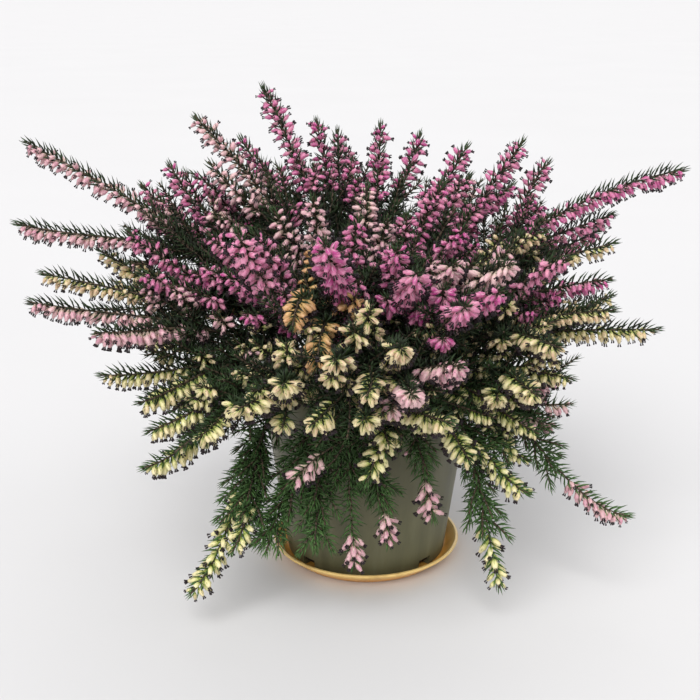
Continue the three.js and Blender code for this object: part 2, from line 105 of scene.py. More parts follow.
@dataclass
class Spray:
    """A spray's curve and what grows on it.

    Attributes:
        stem: Number of the leafy stem that it belongs to, from 0.
        flower: Length in flower, in mm.
        points: Four control points of its curve, in mm.
        tip: Where its tip was drawn, in mm.
        parent: Index of the spray that it forks from, or None.
    """

    stem: int
    flower: float
    points: np.ndarray
    tip: np.ndarray
    parent: int | None


def rose(main: Plan, fork: Plan) -> Row:
    """A stem with rose bells."""
    return Row(Bloom.ROSE, main, fork)


def blush(main: Plan, fork: Plan) -> Row:
    """A stem with pale pink bells."""
    return Row(Bloom.BLUSH, main, fork)


def cream(main: Plan, fork: Plan) -> Row:
    """A stem with cream bells."""
    return Row(Bloom.CREAM, main, fork)


def seeded(seed: int, factor: int = 16807, modulus: int = 2147483647) -> Callable[[], float]:
    """Random numbers that are the same on every run.

    Args:
        seed: Where the row of numbers starts.
        factor: What each whole number is multiplied by for the next.
        modulus: What it is then divided by, for the rest.

    Returns:
        A function that gives the next number between 0 and 1.
    """
    state = [seed]

    def draw() -> float:
        """The next number of the row."""
        state[0] = (state[0] * factor) % modulus
        return state[0] / modulus

    return draw


def heading(turn: float, climb: float) -> np.ndarray:
    """A direction of length 1.

    Args:
        turn: Its turn about Z, in degrees.
        climb: Its climb above level, in degrees.

    Returns:
        The direction.
    """
    flat = math.cos(math.radians(climb))
    side = math.radians(turn)
    return np.array((flat * math.cos(side), flat * math.sin(side), math.sin(math.radians(climb))))


def turn_of(vector: np.ndarray) -> float:
    """The turn of a vector about Z, in degrees."""
    return math.degrees(math.atan2(vector[1], vector[0]))


def climb_of(vector: np.ndarray) -> float:
    """The climb of a vector above level, in degrees."""
    return math.degrees(math.atan2(vector[2], math.hypot(vector[0], vector[1])))


def unit(vector: np.ndarray) -> np.ndarray:
    """The vector, or each row of an array of them, at length 1."""
    return vector / np.linalg.norm(vector, axis=-1, keepdims=True)


def bezier_weights(t: float | list[float] | np.ndarray) -> np.ndarray:
    """Weights of a cubic curve's four control points.

    Args:
        t: One or more places along the curve, from 0 to 1.

    Returns:
        Four weights for each place.
    """
    t = np.asarray(t, dtype=float)
    s = 1 - t
    return np.stack((s**3, 3 * s * s * t, 3 * s * t * t, t**3), axis=-1)


@dataclass
class HeathLayout:
    """Where every spray of the plant runs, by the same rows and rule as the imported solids.

    Sizes are in mm and angles in degrees, in the part's own frame.
    """

    # The pot and the soil, as their solids have them
    gap: float = 0.3
    pot_bottom: float = 2.7
    pot_height: float = 105.0
    pot_base: float = 45.5
    pot_top: float = 60.0
    lip_out: float = 1.8
    soil_edge: float = 9.0
    soil_rise: float = 4.0
    # Where the stems stand
    root_spread: float = 43.0
    root_pitch: float = 9.6
    root_passes: int = 300
    root_above: float = 1.0
    # How the sprays bend
    start_rise: float = 0.38
    end_run: float = 0.38
    hanging_run: float = 0.56
    hanging_climb: float = -30.0
    lift_over: float = 26.0
    least_lift: float = 54.0
    hanging_lift: float = 64.0
    most_lift: float = 84.0
    fork_at: float = 0.4
    fork_look: float = 0.05
    # How far the sprays keep apart
    over_rim_from: float = 50.0
    pot_clear: float = 1.0
    ground_clear: float = 12.0
    spike_radius: float = 7.4
    stem_girth: float = 2.4
    girth_rise: float = 1.7
    spread_samples: int = 10
    spread_passes: int = 60
    push_share: float = 0.4
    tip_pull: float = 0.06
    # The stems at the back, which the photo doesn't show
    back_seed: int = 4711
    back_stems: int = 9
    back_start: float = 14.0
    back_step: float = 19.0
    back_climbs: tuple[float, ...] = (34, 6, 20, -12)
    climb_scatter: float = 6.0
    fork_climb: float = 16.0
    fork_turn: float = 8.0
    back_reach: float = 152.0
    reach_scatter: float = 22.0
    reach_per_climb: float = 0.2
    tip_droop: float = 8.0
    back_flower: float = 34.0
    flower_scatter: float = 14.0
    rose_climb: float = 28.0
    blush_climb: float = 12.0

    def __post_init__(self) -> None:
        """Works out the levels, the rows and every spray's curve."""
        self.rim_top = self.pot_bottom + self.pot_height
        self.soil_top = self.rim_top - self.soil_edge
        self.rows = self.front_rows() + self.back_rows()
        self.roots = self.root_places()
        self.sprays = self.draft_sprays()
        self.spread()

    def front_rows(self) -> list[Row]:
        """The stems that the photo shows, region by region.

        Returns:
            Their rows, in the order of the nodes' numbers.
        """
        left = [
            blush((-183, 5, 236, 27, 90), (-186, -12, 195, 16, 82)),
            cream((-168, -36, 174, 16, 56), (-151, 20, 174, 20, 40)),
            blush((-169, -62, 166, 16, 64), (-130, -92, 159, 14, 76)),
            cream((-133, -72, 131, 12, 46), (-111, -92, 123, 4, 48)),
            cream((-107, -96, 111, 0, 30), (-81, -114, 114, 0, 26)),
            cream((-113, -84, 86, 2, 44), (-108, -50, 111, 6, 40)),
            cream((-90, -96, 22, -16, 56), (-68, -97, 46, -18, 26)),
        ]
        upper_left = [
            rose((-125, 18, 211, 46, 46), (-113, 46, 218, 46, 40)),
            blush((-95, 28, 247, 44, 66), (-86, 4, 225, 50, 38)),
            rose((-126, -24, 194, 44, 54), (-115, -50, 178, 30, 40)),
            rose((-82, -36, 195, 44, 36), (-70, -60, 181, 50, 36)),
            rose((-61, -96, 210, 66, 60), (-56, -70, 203, 52, 50)),
        ]
        top = [
            rose((-57, 30, 263, 62, 60), (-73, 60, 231, 52, 40)),
            rose((-29, 60, 242, 66, 40), (-17, 84, 233, 60, 40)),
            rose((8, 50, 241, 60, 42), (33, 88, 230, 52, 40)),
            rose((60, 70, 225, 40, 44), (90, 84, 200, 30, 36)),
            rose((85, 20, 235, 48, 84), (57, 22, 215, 56, 34)),
            rose((170, 5, 221, 12, 100), (136, 14, 195, 16, 46)),
            blush((-49, -26, 205, 60, 40), (-28, -44, 215, 62, 42)),
            blush((0, -4, 215, 74, 34), (10, -34, 202, 60, 34)),
            rose((39, -14, 216, 62, 42), (48, -50, 201, 46, 34)),
            rose((21, -112, 194, 30, 34), (13, -84, 198, 44, 32)),
            rose((-21, -124, 211, 54, 80), (-5, -64, 209, 56, 34)),
        ]
        right = [
            cream((92, -30, 195, 22, 50), (133, -8, 184, 16, 42)),
            rose((124, -44, 173, 12, 50), (98, -62, 188, 22, 42)),
            blush((66, -88, 192, 26, 42), (41, -84, 191, 34, 34)),
            rose((61, -102, 182, 22, 34), (43, -122, 181, 24, 32)),
            cream((124, -56, 160, 8, 56), (89, -100, 154, 6, 44)),
            cream((151, -40, 145, 5, 80), (141, 22, 147, 8, 46)),
            cream((101, -72, 129, 2, 66), (78, -108, 133, 0, 38)),
            cream((85, -78, 102, -2, 56), (84, -66, 82, 0, 44)),
            blush((137, -66, 51, 8, 34), (99, -20, 103, 0, 40)),
            cream((81, -84, 72, 4, 34), (67, -88, 21, -66, 30)),
        ]
        front = [
            Row(Bloom.DRIED, (-22, -124, 149, -55, 36), (-35, -117, 168, -36, 26)),
            cream((-18, -146, 163, 20, 26), (-3, -148, 148, 12, 24)),
            cream((13, -142, 167, 20, 26), (-26, -144, 133, 8, 26)),
            cream((-58, -136, 138, 10, 32), (-38, -140, 150, 14, 28)),
            blush((18, -146, 147, 10, 34), (40, -130, 155, 14, 34)),
            cream((-5, -140, 135, 2, 40), (36, -132, 129, 0, 44)),
            cream((47, -112, 102, -4, 40), (-1, -108, 89, -60, 28)),
            blush((-7, -88, 32, -66, 16), (10, -86, 44, -62, 14)),
            blush((33, -84, 57, -64, 18), (-38, -104, 86, -40, 18)),
            Row(Bloom.LEAFY, (-27, -90, 44, -60, 0), (-56, -86, 42, -52, 0)),
        ]
        return left + upper_left + top + right + front

    def back_rows(self) -> list[Row]:
        """The stems of the back, from the right round to the left, with a little seeded scatter.

        Returns:
            Their rows, in the order of the nodes' numbers.
        """
        draw = seeded(self.back_seed)
        rows = []
        for index in range(self.back_stems):
            turn = self.back_start + self.back_step * index
            climb = self.back_climbs[index % len(self.back_climbs)] + self.climb_scatter * (draw() - 0.5)
            sprays = []
            for side, rise in ((turn, climb), (turn + self.fork_turn, climb + self.fork_climb)):
                reach = self.back_reach + self.reach_scatter * (draw() - 0.5) + self.reach_per_climb * rise
                tip = heading(side, rise) * reach
                flower = self.back_flower + self.flower_scatter * draw()
                sprays.append((tip[0], tip[1], tip[2] + self.soil_top, rise - self.tip_droop, flower))
            low_bloom = Bloom.BLUSH if climb > self.blush_climb else Bloom.CREAM
            rows.append(Row(Bloom.ROSE if climb > self.rose_climb else low_bloom, *sprays))
        return rows

    def root_places(self) -> list[np.ndarray]:
        """Where the stems stand: the steepest in the middle, the lowest at the edge, a pitch apart.

        Returns:
            The start of each stem's main spray.
        """
        crown = np.array((0, 0, self.soil_top))
        aims = [np.array(row.main[:3]) - crown for row in self.rows]
        order = sorted(range(len(aims)), key=lambda index: -climb_of(aims[index]))
        places = [[0.0, 0.0] for _ in aims]
        for rank, index in enumerate(order):
            radius = self.root_spread * math.sqrt((rank + 0.5) / len(aims))
            direction = heading(turn_of(aims[index]), 0)
            places[index] = [radius * direction[0], radius * direction[1]]
        for _ in range(self.root_passes):
            self.part_roots(places)
        return [np.array((x, y, self.soil_height(math.hypot(x, y)) + self.root_above)) for x, y in places]

    def part_roots(self, places: list[list[float]]) -> None:
        """Pushes roots that stand too close apart once, and holds all of them inside the pot.

        Args:
            places: X and Y of each root, which it changes.
        """
        for index, first in enumerate(places):
            for second in places[index + 1:]:
                across = first[0] - second[0]
                along = first[1] - second[1]
                apart = math.hypot(across, along)
                if apart < self.root_pitch:
                    share = (self.root_pitch - apart) / 2 / apart
                    first[0] += across * share
                    first[1] += along * share
                    second[0] -= across * share
                    second[1] -= along * share
            radius = math.hypot(*first)
            if radius > self.root_spread:
                first[0] *= self.root_spread / radius
                first[1] *= self.root_spread / radius

    def soil_height(self, radius: float) -> float:
        """How high the soil stands at a distance from the middle."""
        return self.soil_top + self.soil_rise * (1 - radius / self.pot_top)

    def control_points(self, start: np.ndarray, tip: np.ndarray, away: np.ndarray,
                       climb: float) -> np.ndarray:
        """The four control points of a spray's curve.

        Args:
            start: Where it starts.
            tip: Where it ends.
            away: The direction in which it starts.
            climb: How steeply its tip climbs.

        Returns:
            An array of four points.
        """
        reach = tip - start
        length = np.linalg.norm(reach)
        end = heading(turn_of(reach), climb)
        run = self.hanging_run if climb < self.hanging_climb else self.end_run
        return np.array((start, start + away * self.start_rise * length, tip - end * run * length, tip))

    def draft_sprays(self) -> list[Spray]:
        """Every stem's main spray, then its fork, before they are spread apart.

        Returns:
            The sprays, two for each row.
        """
        sprays: list[Spray] = []
        for stem, row in enumerate(self.rows):
            tip = np.array(row.main[:3], dtype=float)
            chord = tip - self.roots[stem]
            steep = self.hanging_lift if tip[2] < self.rim_top else self.least_lift
            lift = min(self.most_lift, max(climb_of(chord) + self.lift_over, steep))
            away = heading(turn_of(chord), lift)
            points = self.control_points(self.roots[stem], tip, away, row.main[3])
            sprays.append(Spray(stem, row.main[4], points, tip, None))
            start, later = bezier_weights([self.fork_at, self.fork_at + self.fork_look]) @ points
            fork_tip = np.array(row.fork[:3], dtype=float)
            aim = unit(unit(fork_tip - start) + unit(later - start))
            fork_points = self.control_points(start, fork_tip, aim, row.fork[3])
            sprays.append(Spray(stem, row.fork[4], fork_points, fork_tip, len(sprays) - 1))
        return sprays

    def pot_push(self, point: np.ndarray, keep: float) -> np.ndarray:
        """The push that keeps a point of a spray off the pot's wall and rim.

        Args:
            point: The point.
            keep: How far off it has to stay.

        Returns:
            The push, which is zero for a point that is clear.
        """
        radius = math.hypot(point[0], point[1])
        wall = self.pot_top + self.lip_out - self.pot_base
        rise = self.rim_top - self.pot_bottom
        along = (radius - self.pot_base) * wall + (point[2] - self.pot_bottom) * rise
        t = min(1.0, max(0.0, along / (wall * wall + rise * rise)))
        out_r = radius - (self.pot_base + wall * t)
        out_z = point[2] - (self.pot_bottom + rise * t)
        over_rim = self.rim_top + keep - point[2]
        if out_r < 0 and over_rim > 0 and radius > self.over_rim_from:
            return np.array((0, 0, over_rim))
        distance = math.hypot(out_r, out_z)
        if distance >= keep or distance == 0:
            return np.zeros(3)
        share = (keep - distance) / distance
        return np.array((point[0] / radius * out_r, point[1] / radius * out_r, out_z)) * share

    def spread(self) -> None:
        """Pushes sprays that are too close apart, and off the pot, a little at a time."""
        count = self.spread_samples
        number = len(self.sprays)
        steps = (np.arange(count) + 1) / count
        weights = bezier_weights(steps)
        grown = np.minimum(1, steps * self.girth_rise)
        girth = self.stem_girth + (self.spike_radius - self.stem_girth) * grown
        points = np.array([spray.points for spray in self.sprays])
        stems = np.repeat([spray.stem for spray in self.sprays], count)
        owner = np.repeat(np.arange(number), count)
        outer = np.tile(np.arange(count) >= count // 2, number)
        apart_enough = (stems[:, None] != stems) | (outer[:, None] & outer & (owner[:, None] != owner))
        room = np.tile(girth, number)
        reach = room[:, None] + room
        for _ in range(self.spread_passes):
            samples = np.einsum("ic,scx->six", weights, points).reshape(-1, 3)
            apart = samples[:, None] - samples
            distance = np.sqrt((apart**2).sum(axis=2))
            near = apart_enough & (distance < reach)
            distance[~near] = 1
            share = np.where(near, (reach - distance) / 2 / distance, 0)
            pushes = np.einsum("pq,pqx->px", share, apart)
            for index, sample in enumerate(samples):
                pushes[index] += self.pot_push(sample, room[index] + self.pot_clear)
                pushes[index, 2] += max(0.0, self.ground_clear - sample[2])
            by_spray = pushes.reshape(number, count, 3)
            shift = self.push_share * np.einsum("ic,six->scx", weights, by_spray)
            points[:, 1:] += shift[:, 1:]
            for index, spray in enumerate(self.sprays):
                points[index, 3] += self.tip_pull * (spray.tip - points[index, 3])
                if spray.parent is not None:
                    start = bezier_weights(self.fork_at) @ points[spray.parent]
                    points[index, 1] += start - points[index, 0]
                    points[index, 0] = start
        for spray, bent in zip(self.sprays, points):
            spray.points = bent


class Run:
    """A spray's curve by length, with a frame whose top looks up where the spray lies level."""

    def __init__(self, points: np.ndarray, steps: int = 60) -> None:
        """Measures the curve.

        Args:
            points: Its four control points, in mm.
            steps: How many chords it is measured with.
        """
        self.points = points
        samples = bezier_weights(np.linspace(0, 1, steps + 1)) @ points
        self.tip = samples[-1]
        lengths = np.linalg.norm(np.diff(samples, axis=0), axis=1)
        self.lengths = np.concatenate(((0,), np.cumsum(lengths)))
        self.length = float(self.lengths[-1])
        flat = points[3] - points[0]
        flat[2] = 0
        self.across = np.cross(unit(flat), (0, 0, 1))

    def at(self, distance: np.ndarray) -> tuple[np.ndarray, np.ndarray, np.ndarray, np.ndarray]:
        """Places and frames at distances along the curve.

        Args:
            distance: Distances from its start, in mm.

        Returns:
            The places, and the unit vectors ahead, to the side and to the top at each.
        """
        t = np.interp(distance, self.lengths, np.linspace(0, 1, len(self.lengths)))
        places = bezier_weights(t) @ self.points
        s = 1 - t
        slopes = np.stack((s * s, 2 * s * t, t * t), axis=-1) @ np.diff(self.points, axis=0)
        ahead = unit(slopes)
        side = unit(self.across - ahead * (ahead @ self.across)[..., None])
        return places, ahead, side, np.cross(side, ahead)


@dataclass
class Template:
    """A small shape that is modelled once and copied many times.

    Attributes:
        vertices: Its points, in mm, growing along +Z from its root.
        corners: The points of all its faces, in a row.
        sizes: How many corners each face has.
        parts: The material's place in the piece, for each face.
        along: How far each point is from root to tip, 0 to 1.
    """

    vertices: np.ndarray
    corners: np.ndarray
    sizes: np.ndarray
    parts: np.ndarray
    along: np.ndarray


def select_only(made: bpy.types.Object) -> None:
    """Selects one object with nothing else and makes it the active one.

    Args:
        made: The object.
    """
    bpy.ops.object.select_all(action="DESELECT")
    made.select_set(True)
    bpy.context.view_layer.objects.active = made


class Bench:
    """Models shapes with Blender's own operators, one ring after another."""

    same_place = 1e-7
    least_ring = 1e-4

    @staticmethod
    def start(add: Callable, **sizes: object) -> bpy.types.Object:
        """Adds a primitive with nothing else selected and opens it for editing.

        Args:
            add: The operator that adds it.
            **sizes: What the operator is given.

        Returns:
            The new object, all of it selected.
        """
        bpy.ops.object.select_all(action="DESELECT")
        add(**sizes)
        made = bpy.context.object
        bpy.ops.object.mode_set(mode="EDIT")
        bpy.ops.mesh.select_all(action="SELECT")
        return made

    @classmethod
    def finish(cls, made: bpy.types.Object, name: str) -> bpy.types.Object:
        """Closes the edit, turns the faces outwards and puts the place into the mesh.

        Args:
            made: The object that is being edited.
            name: What it is called from now on.

        Returns:
            The same object.
        """
        bpy.ops.mesh.select_all(action="SELECT")
        bpy.ops.mesh.remove_doubles(threshold=cls.same_place)
        bpy.ops.mesh.normals_make_consistent(inside=False)
        bpy.ops.object.mode_set(mode="OBJECT")
        bpy.ops.object.transform_apply(location=True, rotation=True, scale=True)
        made.name = name
        made.data.name = name
        return made

    @classmethod
    def ringed(cls, name: str, sides: int, profile: list[tuple[float, float]],
               bend: float = 0.0) -> bpy.types.Object:
        """A closed solid drawn out of a ring through a profile.

        Args:
            name: Name of the object.
            sides: Corners of each ring.
            profile: Radius and height of each ring, in mm; a radius of 0 closes the shape.
            bend: How far the shape leans to +X by its top, in mm.

        Returns:
            The finished object.
        """
        radius, height = profile[0]
        made = cls.start(bpy.ops.mesh.primitive_circle_add, vertices=sides, radius=radius * MM,
                         fill_type="NGON", location=(0, 0, height * MM))
        top = max(point[1] for point in profile)
        shift = 0.0
        for wide, high in profile[1:]:
            lean = bend * (high / top) ** 2
            step = ((lean - shift) * MM, 0, (high - height) * MM)
            bpy.ops.mesh.extrude_region_move(TRANSFORM_OT_translate={"value": step})
            share = max(wide, cls.least_ring) / radius
            bpy.ops.transform.resize(value=(share, share, 1), center_override=(lean * MM, 0, high * MM))
            if wide == 0:
                bpy.ops.mesh.merge(type="CENTER")
            radius, height, shift = wide, high, lean
        return cls.finish(made, name)

    @staticmethod
    def take(made: bpy.types.Object, part: Part) -> Template:
        """Reads a finished shape into a template and removes its object.

        Args:
            made: The shape, grown along +Z from its root.
            part: Which material its faces take.

        Returns:
            The template, in mm.
        """
        mesh = made.data
        vertices = np.array([vertex.co for vertex in mesh.vertices]) / MM
        corners = np.concatenate([list(face.vertices) for face in mesh.polygons])
        sizes = np.array([len(face.vertices) for face in mesh.polygons])
        reach = vertices[:, 2] - vertices[:, 2].min()
        bpy.data.objects.remove(made, do_unlink=True)
        bpy.data.meshes.remove(mesh)
        return Template(vertices, corners, sizes, np.full(len(sizes), part.value), reach / reach.max())


def merged(templates: list[Template]) -> Template:
    """Joins templates, as they lie.

    Args:
        templates: The shapes to join.

    Returns:
        One template of them all.
    """
    offsets = np.cumsum([0] + [len(template.vertices) for template in templates[:-1]])
    return Template(
        np.concatenate([template.vertices for template in templates]),
        np.concatenate([template.corners + offset for template, offset in zip(templates, offsets)]),
        np.concatenate([template.sizes for template in templates]),
        np.concatenate([template.parts for template in templates]),
        np.concatenate([template.along for template in templates]),
    )


def moved(template: Template, lean: float, turn: float, offset: Vector) -> Template:
    """A copy of a template that leans outwards and is turned about +Z.

    Args:
        template: The shape to copy.
        lean: How far it leans from +Z towards +X, in degrees.
        turn: How far it is then turned about +Z, in degrees.
        offset: Where its root goes before that turn, in mm.

    Returns:
        The copy.
    """
    tip, side = math.radians(lean), math.radians(turn)
    about_y = np.array(((math.cos(tip), 0, math.sin(tip)), (0, 1, 0), (-math.sin(tip), 0, math.cos(tip))))
    about_z = np.array(((math.cos(side), -math.sin(side), 0), (math.sin(side), math.cos(side), 0), (0, 0, 1)))
    placed = (template.vertices @ about_y.T + np.array(offset)) @ about_z.T
    return Template(placed, template.corners, template.sizes, template.parts, template.along)


@dataclass
class FloretShapes:
    """The bell, its sepals, its anthers and the needle, at real size in mm.

    An outline gives each ring's share of the radius and of the length.
    """

    stalk_length: float = 1.5
    stalk_radius: float = 0.26
    bell_length: float = 6.0
    bell_radius: float = 1.65
    bell_sides: int = 6
    bell_outline: Outline = ((0.8, 0.16), (1.0, 0.48), (0.5, 0.96), (0.0, 0.88))
    sepals: int = 4
    sepal_length: float = 4.9
    sepal_radius: float = 0.95
    sepal_flatness: float = 0.35
    sepal_lean: float = 13.0
    sepal_out: float = 0.45
    anthers: int = 4
    anther_length: float = 2.6
    anther_radius: float = 0.58
    anther_lean: float = 14.0
    anther_out: float = 0.6
    anther_height: float = 0.83
    blade_sides: int = 3
    needle_length: float = 7.6
    needle_radius: float = 0.56
    needle_outline: Outline = ((0.7, 0.0), (1.0, 0.45), (0.0, 1.0))
    needle_bend: float = 1.7

    def blade(self, name: str, radius: float, length: float, part: Part) -> Template:
        """A three-sided spike.

        Args:
            name: What the shape is called while it is made.
            radius: Its radius at the root.
            length: Its length.
            part: Which material its faces take.

        Returns:
            Its template.
        """
        return Bench.take(Bench.ringed(name, self.blade_sides, [(radius, 0), (0, length)]), part)

    def bell(self) -> Template:
        """A hanging urn on a short stalk, with four sepals and a ring of dark anthers at its mouth.

        Returns:
            Its template.
        """
        wide, long, foot = self.bell_radius, self.bell_length, self.stalk_length
        profile = [(self.stalk_radius, 0.0)]
        profile += [(share * wide, foot + rise * long) for share, rise in self.bell_outline]
        pieces = [Bench.take(Bench.ringed("urn", self.bell_sides, profile), Part.PETALS)]
        sepal = self.blade("sepal", self.sepal_radius, self.sepal_length, Part.SEPALS)
        sepal.vertices[:, 0] *= self.sepal_flatness
        for index in range(self.sepals):
            turn = 360 / self.sepals * index
            pieces.append(moved(sepal, self.sepal_lean, turn, (self.sepal_out * wide, 0, foot)))
        anther = self.blade("anther", self.anther_radius, self.anther_length, Part.ANTHERS)
        mouth = foot + self.anther_height * long + self.anther_length
        for index in range(self.anthers):
            turn = 360 / self.anthers * (index + 0.5)
            pieces.append(moved(anther, 180 + self.anther_lean, turn, (self.anther_out * wide, 0, mouth)))
        whole = merged(pieces)
        whole.along = np.clip(whole.vertices[:, 2] / (foot + long), 0, 1)
        return whole

    def needle(self) -> Template:
        """A slim needle that bends a little towards its stem's tip.

        Returns:
            Its template.
        """
        wide, long = self.needle_radius, self.needle_length
        profile = [(share * wide, rise * long) for share, rise in self.needle_outline]
        return Bench.take(Bench.ringed("needle", self.blade_sides, profile, self.needle_bend), Part.PETALS)

    def short_needle(self) -> Template:
        """A straight needle for the twigs inside the plant."""
        return self.blade("short_needle", self.needle_radius, self.needle_length, Part.PETALS)


class Gathering:
    """Collects copies of templates for one mesh, with an attribute for place and one for tint."""

    def __init__(self) -> None:
        """Starts empty."""
        self.copies: list[Template] = []
        self.tints: list[np.ndarray] = []

    def add(self, template: Template, roots: np.ndarray, away: np.ndarray, fore: np.ndarray,
            scales: np.ndarray, tints: np.ndarray) -> None:
        """Places copies of a template.

        Args:
            template: The shape to copy.
            roots: Where each copy's root goes, in mm.
            away: The direction that each copy's +Z takes.
            fore: A direction that each copy's +X leans towards.
            scales: The size of each copy.
            tints: A number from 0 to 1 for each copy, for its colour.
        """
        up = unit(away)
        front = unit(fore - up * (fore * up).sum(axis=1, keepdims=True))
        turns = np.stack((front, np.cross(up, front), up), axis=2) * scales[:, None, None]
        points = np.einsum("nij,vj->nvi", turns, template.vertices) + roots[:, None]
        number, size = len(roots), len(template.vertices)
        offsets = size * np.arange(number)
        self.copies.append(Template(
            points.reshape(-1, 3),
            (template.corners[None] + offsets[:, None]).ravel(),
            np.tile(template.sizes, number),
            np.tile(template.parts, number),
            np.tile(template.along, number),
        ))
        self.tints.append(np.repeat(tints, size))

    def piece(self, name: str, materials: list[bpy.types.Material]) -> bpy.types.Object:
        """Makes the collected copies into one object with smooth faces.

        Args:
            name: The object's name.
            materials: Its materials, in the order of the templates' parts.

        Returns:
            The object, at the origin.
        """
        whole = merged(self.copies)
        mesh = bpy.data.meshes.new(name)
        mesh.vertices.add(len(whole.vertices))
        mesh.vertices.foreach_set("co", (whole.vertices * MM).ravel())
        mesh.loops.add(len(whole.corners))
        mesh.loops.foreach_set("vertex_index", whole.corners)
        mesh.polygons.add(len(whole.sizes))
        mesh.polygons.foreach_set("loop_start", np.cumsum(whole.sizes) - whole.sizes)
        mesh.polygons.foreach_set("material_index", whole.parts)
        mesh.update(calc_edges=True)
        mesh.polygons.foreach_set("use_smooth", np.ones(len(whole.sizes), dtype=bool))
        for label, values in (("along", whole.along), ("tint", np.concatenate(self.tints))):
            attribute = mesh.attributes.new(label, "FLOAT", "POINT")
            attribute.data.foreach_set("value", values.astype(np.float32))
        for material in materials:
            mesh.materials.append(material)
        made = bpy.data.objects.new(name, mesh)
        bpy.context.scene.collection.objects.link(made)
        return made


@dataclass(frozen=True)
class Grain:
    """Noise on Object coordinates.

    Attributes:
        scale: How fine it is, per metre.
        detail: How many finer layers it has.
        stretch: Scale along X, Y and Z.
    """

    scale: float
    detail: float
    stretch: Vector = (1.0, 1.0, 1.0)


@dataclass(frozen=True)
class Relief:
    """A bump: its strength, from 0 to 1, and its height in metres."""

    strength: float
    height: float


def grey(value: float) -> Colour:
    """A grey of that brightness."""
    return (value, value, value)


class Nodes:
    """A node tree, with short ways to add what the finishes and the room need."""

    def __init__(self, tree: bpy.types.NodeTree) -> None:
        """Takes the tree that the nodes go into."""
        self.tree = tree

    def add(self, kind: str) -> bpy.types.Node:
        """A new shader node of one kind."""
        return self.tree.nodes.new("ShaderNode" + kind)

    def link(self, source: bpy.types.NodeSocket, target: bpy.types.NodeSocket) -> None:
        """Links an output to an input."""
        self.tree.links.new(source, target)

    def height(self, coordinates: str) -> bpy.types.NodeSocket:
        """How high each point is.

        Args:
            coordinates: Which of the coordinates' outputs it is measured in.

        Returns:
            The socket with the height.
        """
        split = self.add("SeparateXYZ")
        self.link(self.add("TexCoord").outputs[coordinates], split.inputs["Vector"])
        return split.outputs["Z"]

    def ramp(self, source: bpy.types.NodeSocket, places: Places, *colours: Colour) -> bpy.types.NodeSocket:
        """A colour ramp.

        Args:
            source: The socket that drives it.
            places: Place of each stop.
            *colours: Colour of each stop.

        Returns:
            The socket with the colour.
        """
        ramp = self.add("ValToRGB")
        elements = ramp.color_ramp.elements
        while len(elements) < len(places):
            elements.new(1.0)
        for element, place, colour in zip(elements, places, colours):
            element.position = place
            element.color = (*colour, 1.0)
        self.link(source, ramp.inputs["Fac"])
        return ramp.outputs["Color"]


class Surface(Nodes):
    """A material in the making, with its constant values straight on its shader's sockets."""

    def __init__(self, name: str, roughness: float, gloss: float) -> None:
        """Starts the material.

        Args:
            name: The material's name.
            roughness: The shader's roughness where nothing is linked to it.
            gloss: The shader's specular level.
        """
        self.material = bpy.data.materials.new(name)
        self.material.use_nodes = True
        super().__init__(self.material.node_tree)
        self.shader = self.tree.nodes["Principled BSDF"]
        self.shader.inputs["Roughness"].default_value = roughness
        self.shader.inputs["Specular IOR Level"].default_value = gloss

    def attribute(self, name: str) -> bpy.types.NodeSocket:
        """One of the piece's own attributes.

        Args:
            name: The attribute's name.

        Returns:
            The socket with its value.
        """
        node = self.add("Attribute")
        node.attribute_name = name
        return node.outputs["Fac"]

    def noise(self, grain: Grain) -> bpy.types.NodeSocket:
        """Noise on Object coordinates.

        Args:
            grain: How fine it is.

        Returns:
            The socket with its value.
        """
        mapping = self.add("Mapping")
        mapping.inputs["Scale"].default_value = grain.stretch
        noise = self.add("TexNoise")
        noise.inputs["Scale"].default_value = grain.scale
        noise.inputs["Detail"].default_value = grain.detail
        self.link(self.add("TexCoord").outputs["Object"], mapping.inputs["Vector"])
        self.link(mapping.outputs["Vector"], noise.inputs["Vector"])
        return noise.outputs["Fac"]

    def mix(self, factor: bpy.types.NodeSocket | float, first: bpy.types.NodeSocket | Colour,
            second: bpy.types.NodeSocket | Colour, blend: str = "MIX") -> bpy.types.NodeSocket:
        """A colour mix.

        Args:
            factor: Share of the second colour.
            first: The first colour.
            second: The second colour.
            blend: How they are mixed.

        Returns:
            The socket with the mixed colour.
        """
        mix = self.add("Mix")
        mix.data_type = "RGBA"
        mix.blend_type = blend
        for socket, value in ((mix.inputs[0], factor), (mix.inputs[6], first), (mix.inputs[7], second)):
            if isinstance(value, bpy.types.NodeSocket):
                self.link(value, socket)
            elif isinstance(value, tuple):
                socket.default_value = (*value, 1.0)
            else:
                socket.default_value = value
        return mix.outputs[2]

    def paint(self, colour: bpy.types.NodeSocket) -> None:
        """Gives the shader its colour."""
        self.link(colour, self.shader.inputs["Base Color"])

    def paint_mottled(self, colour: bpy.types.NodeSocket, grain: bpy.types.NodeSocket, share: float) -> None:
        """Gives the shader a colour that a grain makes lighter and darker."""
        self.paint(self.mix(share, colour, grain, "SOFT_LIGHT"))

    def bump(self, source: bpy.types.NodeSocket, relief: Relief) -> None:
        """Gives the shader a bump.

        Args:
            source: The socket that drives it.
            relief: How strong and how high it is.
        """
        bump = self.add("Bump")
        bump.inputs["Strength"].default_value = relief.strength
        bump.inputs["Distance"].default_value = relief.height
        self.link(source, bump.inputs["Height"])
        self.link(bump.outputs["Normal"], self.shader.inputs["Normal"])


